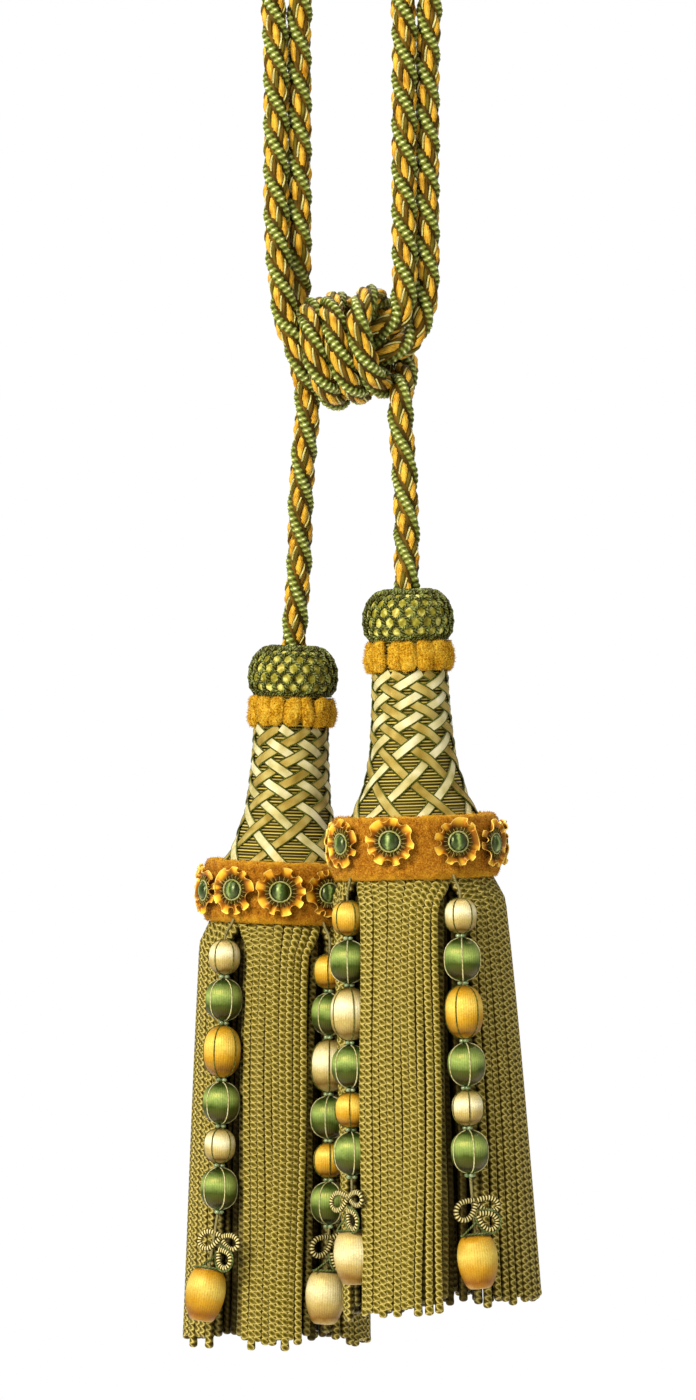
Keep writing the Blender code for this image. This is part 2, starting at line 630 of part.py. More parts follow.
MATERIALS = {
    "rope": material("laid rope", (0.26, 0.25, 0.05), 0.55),
    "net": material("netted satin", (0.10, 0.16, 0.03), 0.5),
    "mould": material("corded mould", (0.22, 0.20, 0.05), 0.6),
    "velvet": material("orange chenille", (0.75, 0.28, 0.02), 0.85),
    "chenille": material("yellow chenille", (0.85, 0.38, 0.03), 0.85),
    "rosette": material("gold braid", (0.80, 0.40, 0.04), 0.5),
    "bullion": material("bullion cord", (0.30, 0.26, 0.05), 0.6),
    "yellow": material("yellow satin", (0.90, 0.50, 0.04), 0.35),
    "cream": material("cream satin", (0.80, 0.70, 0.42), 0.35),
    "gimp": material("gimp cord", (0.45, 0.38, 0.12), 0.6),
}

rope(MATERIALS["rope"])
for tassel_name, settings in TASSELS.items():
    head(tassel_name, MATERIALS)
    skirt(tassel_name, MATERIALS["bullion"])
    levels = head_levels(settings)
    middle_level = (levels[2] + levels[3]) / 2
    for number, azimuth in enumerate(settings["rosettes"], 1):
        rosette(f"{tassel_name}_rosette_{number}", azimuth, middle_level,
                MATERIALS["rosette"], head_frame(tassel_name))
    for number, row in enumerate(settings["hangers"], 1):
        hanger(f"{tassel_name}_hanger_{number}", tassel_name, row, MATERIALS)
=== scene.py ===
# A curtain tieback: one laid rope doubled over a hook, closed by a coiled knot, with a key
# tassel on each end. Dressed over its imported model, in the same frame.
from collections import namedtuple
from math import atan2, cos, degrees, pi, radians, sin, tan

import bpy
import numpy as np
from mathutils import Matrix, Vector, noise


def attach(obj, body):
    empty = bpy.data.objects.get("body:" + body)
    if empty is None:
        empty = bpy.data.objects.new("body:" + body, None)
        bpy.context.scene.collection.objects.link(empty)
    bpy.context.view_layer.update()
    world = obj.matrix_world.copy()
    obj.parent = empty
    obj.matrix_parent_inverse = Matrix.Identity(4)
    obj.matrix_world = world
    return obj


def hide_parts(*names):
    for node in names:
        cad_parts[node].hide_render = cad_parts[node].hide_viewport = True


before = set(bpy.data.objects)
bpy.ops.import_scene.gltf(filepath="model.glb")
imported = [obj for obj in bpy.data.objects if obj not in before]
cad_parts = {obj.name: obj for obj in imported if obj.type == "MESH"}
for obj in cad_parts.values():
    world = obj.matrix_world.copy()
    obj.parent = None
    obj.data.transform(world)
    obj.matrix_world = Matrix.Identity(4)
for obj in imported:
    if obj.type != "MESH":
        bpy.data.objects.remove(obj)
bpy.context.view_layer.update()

# ---------------------------------------------------------------- view
# The photograph is taken level with the tassels' caps, from 3 m away with a long lens, so that
# the hanging rope shows no taper. Its frame is 560 mm tall at the hook's plane.
MM = 0.001  # the pieces are worked out in millimetres
VIEW_FROM = Vector((-1.4, -3000.0, -299.2))
VIEW_HEIGHT = 560.0
SENSOR = 36.0

bpy.ops.object.camera_add(location=VIEW_FROM * MM, rotation=(radians(90), 0.0, 0.0))
camera = bpy.context.object
camera.data.sensor_width = SENSOR
camera.data.lens = -SENSOR * VIEW_FROM.y / VIEW_HEIGHT
bpy.context.scene.camera = camera

# ---------------------------------------------------------------- rope
# One four-ply rope, 11 mm thick, hand-laid to the left: two plies of green viscose gimp and two
# of yellow satin, cream and olive yarns. It runs from the left cap over the hook, through and
# round the knot, over the hook again and down to the right cap.
ROPE_LAY = 36.0  # length of one turn of a ply in the loops and the knot
TAIL_LAY = 48.0  # and in the tails, where the rope is pulled longer
KNOT_SQUEEZE = 0.97  # how much narrower it is pressed inside the knot
LOOP_SPRING = -14.35  # height at which the runs turn into the loops over the hook
INNER_LOOP = 19.9
OUTER_LOOP = 31.3
KNOT_CENTRE = Vector((-0.5, 0.0, -158.3))
KNOT_TOP = -150.0
KNOT_RISE = radians(13)  # the knot's axis climbs to the right
KNOT_TURN = radians(16)  # and its right end comes forward
WRAP_RADIUS = 18.5
WRAP_PITCH = 9.9
WRAPS = 3
WRAP_STEPS = 14  # route points in each wrap
BIGHT_RADIUS = 5.0  # half the distance between the bight's two legs
BIGHT_ENDS = (13.5, -6.7)  # along the knot's axis, from its centre
CAP_TOP = {"right": Vector((22.0, -27.0, -255.6)), "left": Vector((-23.2, 28.0, -277.6))}
LEAN = {"right": 1.9, "left": -1.9}
LEFT_TAIL = [(-22.1, 25.8, -259.2), (-21.0, 22.0, -243.2), (-20.4, 16.4, -219.2),
             (-19.0, 9.6, -199.2), (-17.6, 5.0, -184.0), (-18.0, 2.5, -174.8),
             (-19.9, -1.6, -165.6), (-22.6, -3.8, -156.2), (-26.2, -3.8, -147.8),
             (-27.8, -4.5, -137.2), (-30.0, -3.6, -124.0), (-31.0, -1.4, -109.2),
             (-31.3, 0.0, -91.2), (-31.3, 0.0, -55.2)]
OUTER_RIGHT = [(31.3, 0.0, -55.2), (31.3, 0.0, -91.2), (31.3, 0.0, -113.2),
               (31.4, 1.0, -126.4), (30.2, 3.0, -138.4), (27.0, 3.5, -148.8),
               (22.6, 1.0, -156.0)]
INNER_RIGHT = [(18.4, -4.0, -146.0), (20.0, -2.5, -139.2), (20.2, -1.0, -128.0),
               (19.9, 0.0, -111.2), (19.9, 0.0, -91.2), (19.9, 0.0, -55.2)]
INNER_LEFT = [(-19.9, 0.0, -55.2), (-19.9, 0.0, -91.2), (-19.9, 0.0, -112.4),
              (-19.9, 3.2, -124.8), (-20.5, 9.4, -135.2), (-20.0, 16.4, -142.4),
              (-15.6, 20.4, -151.0)]
RIGHT_TAIL = [(19.8, -8.6, -177.9), (19.6, -11.0, -187.6), (20.4, -12.8, -199.2),
              (21.3, -15.6, -212.4), (21.9, -21.0, -234.0)]
# places where a green ply passes over the front of the rope: x and height
GREEN_IN_FRONT = [(-21.6, -232.4), (-19.2, -209.0), (-17.0, -190.0), (-30.6, -132.4),
                  (-31.3, -78.0), (31.3, -68.8), (31.3, -121.6), (19.9, -129.2), (19.9, -78.0),
                  (-19.9, -70.4), (-19.9, -125.2), (21.0, -197.6), (21.4, -222.0),
                  (21.8, -244.0)]
RIB_PITCH = 2.2  # of the green gimp's round ribs
RIB_RINGS = 3
GREEN_PLY = (3.2, 2.28)  # how far a ply lies from the rope's middle, its radius
MIXED_PLY = 2.6
YARN_TWIST = 0.45  # radians a millimetre, against the rope's own lay
YARN_RINGS = 1080
# yarns of a mixed ply: angle, distance from the ply's middle, radius, finish, sides
MIXED_YARNS = [(0.0, 1.14, 1.58, 1, 6), (1.08, 2.12, 0.46, 2, 4), (1.78, 1.66, 0.98, 3, 5),
               (3.14, 1.14, 1.58, 1, 6), (4.22, 2.12, 0.46, 2, 4), (4.92, 1.66, 0.98, 4, 5)]
CORE_RADIUS = 4.2  # the plies close round it, so that no light comes through


def heading(azimuth):
    """Level direction at an azimuth in degrees: 0 is the front, 90 the right."""
    return Vector((sin(radians(azimuth)), -cos(radians(azimuth)), 0.0))


def head_frame(side):
    """Frame of a tassel's head, in mm: origin at its cap's top, leaning with the head."""
    return Matrix.Translation(CAP_TOP[side]) @ Matrix.Rotation(-radians(LEAN[side]), 4, "Y")


def loop_points(radius, first_side):
    """Half circle over the hook, from the side -1 (left) or 1 (right)."""
    return [Vector((first_side * radius * cos(t), 0.0, LOOP_SPRING + radius * sin(t)))
            for t in np.linspace(0.0, pi, 9)]


def cap_socket(side):
    """Where the rope ends in the cap's socket, and a point above it."""
    return [head_frame(side) @ Vector((0.0, 0.0, height)) for height in (-0.7, 6.0)]


def smooth_route(points, fineness=0.5):
    """Centripetal Catmull-Rom curve through the points, and the stretch each of its own is on."""
    def between(a, b, start, end, t):
        return ((end - t) * a + (t - start) * b) / (end - start)

    pts = [np.array(p, float) for p in points]
    pts = [2 * pts[0] - pts[1]] + pts + [2 * pts[-1] - pts[-2]]
    curve, stretches = [], []
    for i in range(len(points) - 1):
        p = pts[i:i + 4]
        k = np.cumsum([0.0] + [np.sqrt(np.linalg.norm(b - a)) for a, b in zip(p, p[1:])])
        steps = max(2, int(np.linalg.norm(p[2] - p[1]) / fineness))
        for t in np.linspace(k[1], k[2], steps, endpoint=False):
            first, second, third = [between(p[j], p[j + 1], k[j], k[j + 1], t) for j in range(3)]
            curve.append(between(between(first, second, k[0], k[2], t),
                                 between(second, third, k[1], k[3], t), k[1], k[2], t))
            stretches.append(i)
    return np.array(curve + [pts[-2]]), np.array(stretches + [len(points) - 1])


def soften(values, reach):
    """Running mean, so that a change of width or lay comes in gradually."""
    padded = np.pad(values, reach, mode="edge")
    return np.convolve(padded, np.ones(2 * reach + 1) / (2 * reach + 1), mode="valid")


def unit(vectors):
    """The same directions, one long."""
    return vectors / np.linalg.norm(vectors, axis=-1, keepdims=True)


def travelled(points):
    """Distance from the first point along the line."""
    return np.concatenate([[0.0], np.cumsum(np.linalg.norm(np.diff(points, axis=0), axis=1))])


def stretch_to(points, places, at):
    """Points of a line at other places along it."""
    return np.stack([np.interp(at, places, points[:, k]) for k in range(points.shape[1])], axis=1)


def hoop(radius, height, tilt=0.0):
    """Points once round a circle in mm, tilted so that its rear is the lower side."""
    turn = np.linspace(0, 2 * pi, 33)
    return np.stack([radius * np.cos(turn), radius * np.sin(turn),
                     height - tilt * np.sin(turn)], axis=1)


def ring_section(sides):
    """Round section for a cord, in units of its radius."""
    angles = np.arange(sides) * 2 * pi / sides
    return np.stack([np.cos(angles), np.sin(angles)], axis=1)


def new_piece(name, points, faces, uvs, materials, angle=None):
    """A piece in mm. With an angle it is smooth, but for edges that are sharper."""
    mesh = bpy.data.meshes.new(name)
    mesh.from_pydata(points.tolist(), [], faces)
    if uvs is not None:
        mesh.uv_layers.new(name="laid").data.foreach_set("uv", uvs.ravel())
    for mat in materials:
        mesh.materials.append(mat)
    if angle:
        mesh.shade_smooth()
        mesh.set_sharp_from_angle(angle=radians(angle))
    piece = bpy.data.objects.new(name, mesh)
    bpy.context.scene.collection.objects.link(piece)
    return piece


def fit(piece, place, slot, *nodes):
    """Put a piece made in mm at its place. It goes with the one body and stands for solids."""
    piece.data.transform(Matrix.Scale(MM, 4) @ place)
    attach(piece, "root")
    if nodes:
        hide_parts(*nodes)


class Strands:
    """Cords gathered into one mesh: closed tubes with a UV map, once around and along in mm."""

    def __init__(self):
        self.points, self.faces, self.uvs, self.finishes = [], [], [], []
        self.count = 0

    def add(self, centres, size, section, outward, finish=0, start=0.0):
        """Sweep a section (outward, across) along the centres, scaled by the size at each."""
        centres = np.asarray(centres, float)
        rows, sides = len(centres), len(section)
        size = np.broadcast_to(np.asarray(size, float), (rows,))[:, None, None]
        tangent = unit(np.gradient(centres, axis=0))
        out = np.broadcast_to(np.asarray(outward, float), (rows, 3))
        out = unit(out - np.sum(out * tangent, axis=1, keepdims=True) * tangent)
        across = np.cross(tangent, out)
        self.points.append((centres[:, None] + size * (
            section[None, :, :1] * out[:, None] + section[None, :, 1:] * across[:, None])
            ).reshape(-1, 3))
        row, column = np.meshgrid(np.arange(rows - 1), np.arange(sides), indexing="ij")
        after = (column + 1) % sides
        quads = np.stack([row * sides + column, row * sides + after,
                          (row + 1) * sides + after, (row + 1) * sides + column], axis=-1)
        along = travelled(centres) + start
        around = np.stack([column, column + 1, column + 1, column], axis=-1) / sides
        ahead = np.stack([along[row], along[row], along[row + 1], along[row + 1]], axis=-1)
        turn = np.arange(sides) / sides
        last = (rows - 1) * sides + self.count
        self.faces += (quads.reshape(-1, 4) + self.count).tolist()
        self.faces += [list(range(self.count + sides - 1, self.count - 1, -1)),
                       list(range(last, last + sides))]
        self.uvs += [np.stack([around, ahead], axis=-1).reshape(-1, 2),
                     np.stack([turn[::-1], np.full(sides, along[0])], axis=1),
                     np.stack([turn, np.full(sides, along[-1])], axis=1)]
        self.finishes += [finish] * ((rows - 1) * sides + 2)
        self.count += rows * sides

    def piece(self, name, materials, angle=60):
        """The finished piece."""
        made = new_piece(name, np.concatenate(self.points), self.faces,
                         np.concatenate(self.uvs), materials, angle)
        made.data.polygons.foreach_set("material_index", self.finishes)
        return made


def hex_colour(code):
    """sRGB hex to the linear colour that a node takes."""
    channels = [int(code[i:i + 2], 16) / 255 for i in (1, 3, 5)]
    return tuple(c / 12.92 if c <= 0.04045 else ((c + 0.055) / 1.055) ** 2.4
                 for c in channels) + (1.0,)


def new_material(name, roughness, specular=0.4, sheen=0.0, gloss="#F0CE78"):
    """Material with its even settings. Dyed fibres give their gloss a tint."""
    mat = bpy.data.materials.new(name)
    mat.use_nodes = True
    for key, value in {"Roughness": roughness, "Specular IOR Level": specular,
                       "Specular Tint": hex_colour(gloss), "Sheen Weight": sheen,
                       "Sheen Tint": hex_colour(gloss)}.items():
        mat.node_tree.nodes["Principled BSDF"].inputs[key].default_value = value
    return mat


def node(mat, kind, inputs=(), stops=(), output=0, **settings):
    """Add a node and give one of its outputs. Its inputs are numbers, colours or the outputs
    that they come from, and a ramp's stops are colours at their places."""
    made = mat.node_tree.nodes.new("ShaderNode" + kind)
    for key, value in settings.items():
        setattr(made, key, value)
    for key, value in inputs.items() if isinstance(inputs, dict) else enumerate(inputs):
        if isinstance(value, bpy.types.NodeSocket):
            mat.node_tree.links.new(value, made.inputs[key])
        else:
            made.inputs[key].default_value = value
    if stops:
        elements = made.color_ramp.elements
        elements.remove(elements[1])
        elements[0].position = min(stops)
        for place in sorted(stops)[1:]:
            elements.new(place)
        for element, place in zip(elements, sorted(stops)):
            element.color = hex_colour(stops[place])
    return made.outputs[output]


def lying(mat):
    """The UV map's two numbers: once around, and millimetres along."""
    around = node(mat, "SeparateXYZ", [node(mat, "UVMap", uv_map="laid")])
    return around, around.node.outputs["Y"]


def bands(mat, around, along, per_turn, per_mm):
    """0 in the grooves and 1 on the ridges of bands, so many a turn and so many a millimetre."""
    turned = node(mat, "Math", [around, per_turn], operation="MULTIPLY")
    phase = node(mat, "Math", [along, per_mm, turned], operation="MULTIPLY_ADD")
    swing = node(mat, "Math", [phase, 0.5], operation="PINGPONG")
    return node(mat, "Math", [swing, 2.0], operation="MULTIPLY")


def satin_across(mat, strength=0.75):
    """Parallel glossy threads: their highlight spreads along the UV map's first direction."""
    shader = mat.node_tree.nodes["Principled BSDF"]
    shader.inputs["Anisotropic"].default_value = strength
    laid = node(mat, "Tangent", direction_type="UV_MAP", uv_map="laid")
    mat.node_tree.links.new(laid, shader.inputs["Tangent"])


def paint(mat, colour, height=None, depth=0.0):
    """Connect a colour, and a height that stands up to so many millimetres."""
    shader = mat.node_tree.nodes["Principled BSDF"]
    mat.node_tree.links.new(colour, shader.inputs["Base Color"])
    if height is not None:
        raised = node(mat, "Bump", {"Height": height, "Distance": depth * MM})
        mat.node_tree.links.new(raised, shader.inputs["Normal"])
    return mat


def sides_in_shade(mat, around, colour, deepest):
    """Paint shade on the flanks of a cord, where it lies against its neighbours."""
    inward = bands(mat, around, around, 1.0, 0.0)
    shade = node(mat, "MapRange", [inward, 0.22, 0.62, 1.0, deepest],
                 interpolation_type="SMOOTHSTEP")
    return node(mat, "Mix", {0: 1.0, 6: colour, 7: shade}, output=2, data_type="RGBA",
                blend_type="MULTIPLY")


def spun_yarn(name, stops, roughness, threads, per_mm, depth, deepest=0.35):
    """Yarn of twisted threads: dark between the threads, with painted shade on its flanks, the
    colours wandering along it.
    """
    mat = new_material(name, roughness)
    around, along = lying(mat)
    thread = bands(mat, around, along, threads, per_mm)
    drift = node(mat, "TexNoise", {"Vector": node(mat, "TexCoord", output="Object"),
                                   "Scale": 260.0, "Detail": 2.0})
    mixed = node(mat, "Math", [thread, 0.45, drift], operation="MULTIPLY_ADD")
    colour = node(mat, "ValToRGB", [mixed], stops)
    return paint(mat, sides_in_shade(mat, around, colour, deepest), thread, depth)


route, route_settings = [], []
axis = Vector((cos(KNOT_RISE) * cos(KNOT_TURN), -sin(KNOT_TURN), sin(KNOT_RISE) * cos(KNOT_TURN)))
upward = Vector((-sin(KNOT_RISE), 0.0, cos(KNOT_RISE)))
front = axis.cross(upward)
# the doubled end that the wraps go round: in low, round the end and out high
legs = [(along, -1.0) for along in np.linspace(*BIGHT_ENDS, 4)]
legs += [(BIGHT_ENDS[1] - BIGHT_RADIUS * sin(t), -cos(t)) for t in (pi / 4, pi / 2, 3 * pi / 4)]
legs += [(along, 1.0) for along, _ in legs[3::-1]]
bight = [KNOT_CENTRE + axis * along + upward * (BIGHT_RADIUS * rise) for along, rise in legs]
# the wraps go up the front, over the top and down the back
wraps = []
for step in range(-3, WRAPS * WRAP_STEPS - 1):
    whole, part = divmod(step / WRAP_STEPS, 1.0)
    along = WRAP_PITCH * (whole - 1 + max(0.0, 2 * part - 1))
    angle = pi - 2 * pi * part
    wraps.append(KNOT_CENTRE + axis * along
                 + WRAP_RADIUS * (cos(angle) * upward + sin(angle) * front))
for points, *settings in [(cap_socket("left") + LEFT_TAIL[:5], 1.0, TAIL_LAY),
                          (LEFT_TAIL[5:], 1.0, ROPE_LAY),
                          (loop_points(OUTER_LOOP, -1), 1.0, ROPE_LAY),
                          (OUTER_RIGHT, 1.0, ROPE_LAY),
                          (bight, KNOT_SQUEEZE, ROPE_LAY),
                          (INNER_RIGHT, 1.0, ROPE_LAY),
                          (loop_points(INNER_LOOP, 1), 1.0, ROPE_LAY),
                          (INNER_LEFT, 1.0, ROPE_LAY),
                          (wraps, KNOT_SQUEEZE, ROPE_LAY),
                          (RIGHT_TAIL + cap_socket("right")[::-1], 1.0, TAIL_LAY)]:
    route += points
    route_settings += [settings] * len(points)
curve, stretches = smooth_route(route)
widths, lays = np.array(route_settings)[stretches].T
# the two runs on each side are pressed against each other by the knot
pressed = np.sign(curve[:, 0]) * np.clip((LOOP_SPRING - curve[:, 2]) / 20.0, 0.0, 1.0)
pressed *= np.clip((curve[:, 2] - KNOT_TOP) / 20.0, 0.0, 1.0)
from_middle = np.abs(curve[:, 0]) - (INNER_LOOP + OUTER_LOOP) / 2
curve[:, 0] -= 0.20 * pressed * from_middle
curve[:, 1] += 0.42 * pressed * np.clip(from_middle, -6.0, 6.0)
length = travelled(curve)
width = soften(widths, 12)
turns = np.concatenate([[0.0], np.cumsum(np.diff(length) / soften(lays, 20)[1:])])
tangent = unit(np.gradient(curve, axis=0))
normal = np.zeros_like(curve)
normal[0] = unit(np.cross(tangent[0], (0.0, 1.0, 0.3)))
for i in range(1, len(curve)):
    normal[i] = unit(normal[i - 1] - np.dot(normal[i - 1], tangent[i]) * tangent[i])
binormal = np.cross(tangent, normal)

# the lay is eased along the rope so that the green plies cross its front where they do
mends = []
for x, z in GREEN_IN_FRONT:
    near = int(np.argmin((curve[:, 0] - x) ** 2 + (curve[:, 2] - z) ** 2
                         + 0.04 * np.maximum(0.0, curve[:, 1]) ** 2))
    wanted = -atan2(-binormal[near, 1], -normal[near, 1]) / (2 * pi)
    mends.append((length[near], wanted - turns[near]))
mended_at, mends = np.array(sorted(mends)).T
for i in range(len(mends)):
    before = mends[i - 1] if i else 0.0
    mends[i] -= round((mends[i] - before) * 2) / 2
turns = turns + soften(np.interp(length, mended_at, mends), 20)


def ply_line(angle, distance):
    """Centre of a ply, its outward direction, and how far along it each point is."""
    turned = (angle - 2 * pi * turns)[:, None]
    out = np.cos(turned) * normal + np.sin(turned) * binormal
    line = curve + out * (distance * width)[:, None]
    return line, out, travelled(line)


rope_strands = Strands()
at = np.arange(0.0, length[-1], 3.0)
rope_strands.add(stretch_to(curve, length, at), CORE_RADIUS * np.interp(at, length, width),
                 ring_section(8), stretch_to(normal, length, at), 4)
for angle in (0.0, pi):
    line, out, places = ply_line(angle, GREEN_PLY[0])
    at = np.arange(0.0, places[-1], RIB_PITCH / RIB_RINGS)
    swell = 0.80 + 0.20 * np.sqrt(np.sin(pi * ((at / RIB_PITCH) % 1.0)))
    rope_strands.add(stretch_to(line, places, at),
                     GREEN_PLY[1] * swell * np.interp(at, places, width),
                     ring_section(6), stretch_to(out, places, at))
for angle in (pi / 2, 3 * pi / 2):
    line, out, places = ply_line(angle, MIXED_PLY)
    aside = np.cross(tangent, out)
    at = np.linspace(0.0, places[-1], YARN_RINGS)
    for yarn_angle, distance, radius, finish, sides in MIXED_YARNS:
        twist = (yarn_angle + YARN_TWIST * length)[:, None]
        away = np.cos(twist) * out + np.sin(twist) * aside
        yarn = line + away * (distance * width)[:, None]
        rope_strands.add(stretch_to(yarn, places, at), radius * np.interp(at, places, width),
                         ring_section(sides), stretch_to(away, places, at), finish)

# Viscose gimp: half-matt, with a painted highlight, a small pale dot, on the front of each rounded
# rib, and painted shade between the ribs, on its side towards the rope's middle and on its flanks.
GREEN_GIMP = mat = new_material("viscose_gimp_green", 0.55)
around, along = lying(mat)
ridge = bands(mat, around, along, 0.0, 1.0 / RIB_PITCH)
strand = bands(mat, around, along, 6.0, 0.5 / RIB_PITCH)
inward = bands(mat, around, around, 1.0, 0.0)
ribs = node(mat, "Math", [ridge, 0.74], operation="MULTIPLY")
ribs = node(mat, "Math", [strand, 0.26, ribs], operation="MULTIPLY_ADD")
mixed = node(mat, "Math", [inward, -0.8, ribs], operation="MULTIPLY_ADD")
colour = node(mat, "ValToRGB", [mixed], {0.0: "#2A300C", 0.22: "#505A1E", 0.48: "#727E36",
                                         0.68: "#8C9650", 0.84: "#E8E6B6"})
paint(mat, sides_in_shade(mat, around, colour, 0.55), ribs, 0.25)
# Rayon satin yarn: glossy golden yellow with fine parallel threads, and painted shade, brownish,
# between them and on its flanks.
# Its threads, 0.2 mm on the real yarn, are drawn at 0.6 mm so that they show.
YELLOW_YARN = spun_yarn("rayon_satin_yarn_yellow",
                        {0.25: "#6A3803", 0.52: "#A6700E", 0.85: "#D8AE3C"}, 0.34, 14, 0.10,
                        0.10, deepest=0.4)
# Mercerised cotton: thin, pale and slightly glossy.
CREAM_YARN = spun_yarn("mercerised_cotton_cream",
                       {0.2: "#7A7027", 0.6: "#B0A85E", 1.0: "#BEBA86"}, 0.5, 2, 0.7, 0.10,
                       deepest=0.6)
# Viscose yarn: soft and dark, olive in one ply's filling and brown in the other's.
OLIVE_YARN = spun_yarn("viscose_yarn_olive",
                       {0.2: "#1F1B02", 0.6: "#453A08", 1.0: "#6A5E1C"}, 0.6, 8, 0.16, 0.12)
BROWN_YARN = spun_yarn("viscose_yarn_brown",
                       {0.2: "#1A0F01", 0.6: "#3E2904", 1.0: "#664A10"}, 0.6, 8, 0.16, 0.12)
rope = rope_strands.piece("laid_rope", [GREEN_GIMP, YELLOW_YARN, CREAM_YARN, OLIVE_YARN,
                                        BROWN_YARN], 75)
fit(rope, Matrix.Identity(4), "rope", "rope")

# ---------------------------------------------------------------- caps
# The mould that the rope goes into: turned wood covered in yellow-green satin, and over it a
# knotted net of dark green cord, drawn together at its top and its bottom.
CAP_HEIGHT = 20.0
CAP_PROFILE = [(5.8, 18.2), (6.6, 19.0), (8.6, 19.4), (13.0, 17.8), (16.4, 13.2), (17.3, 8.0),
               (16.5, 2.8), (14.6, 0.3)]
CAP_SIDES = 64
NET_CELLS = 21  # round the cap
NET_CORD = 0.66
MOULD_INSET = 0.35  # of the covered mould inside the cap's outline
NET_ABOVE = 0.2  # and of the net's middle outside it
# distance down the cap's outline of each row of knots, closer where the net is drawn together
NET_ROWS = [0.4, 2.8, 5.4, 8.8, 12.8, 16.9, 21.0, 24.8, 28.6]
DRAWN_UP = [1.7, 1.7, 1.7, 1.3, 1.0, 1.0, 1.0, 1.0]  # and its cords lie doubled there
KNOT_SWELL = np.array([0.78, 1.3, 1.495, 1.3, 0.78])  # of the cords twisted into a knot
# the net's two drawing cords: radius, height, thickness
NET_RINGS = [(6.4, -0.7, 0.95), (14.7, -19.4, 0.75)]


def turned(name, profile, sides, mat, closed=True):
    """Turn a profile of (radius, height), in mm: a circle is extruded and sized row by row.
    The UV map has the share of a turn, from the back, and the distance down the profile."""
    bpy.ops.mesh.primitive_circle_add(vertices=sides, radius=profile[0][0],
                                      location=(0.0, 0.0, profile[0][1]))
    piece = bpy.context.object
    piece.name = name
    bpy.ops.object.transform_apply(location=True, rotation=True, scale=True)
    bpy.ops.object.mode_set(mode="EDIT")
    bpy.ops.mesh.select_mode(type="EDGE")
    bpy.ops.mesh.select_all(action="SELECT")
    for (radius, height), (after, level) in zip(profile, profile[1:]):
        bpy.ops.mesh.extrude_region_move(
            TRANSFORM_OT_translate={"value": (0.0, 0.0, level - height)})
        bpy.ops.transform.resize(value=(after / radius, after / radius, 1.0))
    bpy.ops.mesh.select_all(action="SELECT")
    if closed:
        bpy.ops.mesh.fill_holes(sides=0)
    bpy.ops.mesh.normals_make_consistent(inside=False)
    bpy.ops.object.mode_set(mode="OBJECT")
    rows = np.array(profile)
    places = travelled(rows)
    laid = piece.data.uv_layers.new(name="laid").data
    turn, down = [], []
    for vertex in piece.data.vertices:
        turn.append(atan2(vertex.co.x, -vertex.co.y) / (2 * pi) + 0.5)
        down.append(places[np.argmin((rows[:, 0] - vertex.co.xy.length) ** 2
                                     + (rows[:, 1] - vertex.co.z) ** 2)])
    for face in piece.data.polygons:
        highest = max(turn[i] for i in face.vertices)
        for loop, i in zip(face.loop_indices, face.vertices):
            laid[loop].uv = (turn[i] + (highest - turn[i] > 0.5), down[i])
    bpy.ops.object.shade_smooth_by_angle(angle=radians(50))
    piece.data.materials.append(mat)
    return piece


def joined(name, pieces):
    """Join pieces into one mesh of that name."""
    bpy.ops.object.select_all(action="DESELECT")
    for piece in pieces:
        piece.select_set(True)
    bpy.context.view_layer.objects.active = pieces[0]
    bpy.ops.object.join()
    pieces[0].name = pieces[0].data.name = name
    return pieces[0]


def cap_net():
    """Six-sided meshes: cords that zigzag round the cap, twisted together between their rows."""
    outline = smooth_route(CAP_PROFILE, 0.4)[0]
    places = travelled(outline)
    lean = unit(np.gradient(outline, axis=0))
    net = Strands()

    def lay(azimuths, down, size):
        """Lay a cord over the cap."""
        down = np.minimum(down, places[-1])
        level = np.array([heading(a) for a in azimuths])
        line = level * (np.interp(down, places, outline[:, 0]) + NET_ABOVE)[:, None]
        line[:, 2] = np.interp(down, places, outline[:, 1]) - CAP_HEIGHT
        out = level * -np.interp(down, places, lean[:, 1])[:, None]
        out[:, 2] = np.interp(down, places, lean[:, 0])
        net.add(line, size, ring_section(5), unit(out))

    turn = np.arange(NET_CELLS * 6 + 1) / 6
    for row, (upper, lower) in enumerate(zip(NET_ROWS, NET_ROWS[1:])):
        slant = (lower - upper) / 2
        zigzag = np.abs(((turn + 0.5 * (row % 2)) % 1.0) * 2 - 1)
        lay(turn * 360 / NET_CELLS, upper + slant * (1.0 - zigzag), NET_CORD * DRAWN_UP[row])
        for cell in range(NET_CELLS):
            azimuth = (cell + 0.5 - 0.5 * (row % 2)) * 360 / NET_CELLS
            knot_end = min(lower + 0.3, places[-1])
            lay([azimuth] * 5, np.linspace(upper + slant - 0.3, knot_end, 5),
                NET_CORD * KNOT_SWELL)
    out = np.array([heading(a) for a in np.linspace(0, 360, 49)])
    for reach, height, size in NET_RINGS:
        net.add(out * reach + (0.0, 0.0, height), size, ring_section(7), out)
    return net


# Duchess satin drawn over wood: yellow-green with a soft gloss. Its warp is too fine to show.
SATIN_COVER = mat = new_material("duchess_satin_yellow_green", 0.42, specular=0.5)
cloud = node(mat, "TexNoise", {"Vector": node(mat, "TexCoord", output="Object"),
                               "Scale": 420.0, "Detail": 2.0})
colour = node(mat, "ValToRGB", [cloud], {0.3: "#5C5616", 0.5: "#8E882E", 0.66: "#D0CB74"})
paint(mat, colour, cloud, 0.1)
# Two-ply cotton cord, dyed dark green: dull, with a painted highlight on the ridges of its threads
# and painted shade on its flanks.
NET_TWIST = spun_yarn("twisted_cotton_cord_dark_green",
                      {0.25: "#080B02", 0.66: "#1C2406", 1.0: "#788246"}, 0.65, 2, 0.75, 0.18)
for side in ("right", "left"):
    outline = smooth_route(CAP_PROFILE, 1.3)[0] - (MOULD_INSET, CAP_HEIGHT)
    mould = turned(side + "_cap_mould", outline.tolist(), CAP_SIDES, SATIN_COVER)
    fit(mould, head_frame(side), "cap", side + "_cap")
    fit(cap_net().piece(side + "_cap_net", [NET_TWIST]), head_frame(side), "cap")

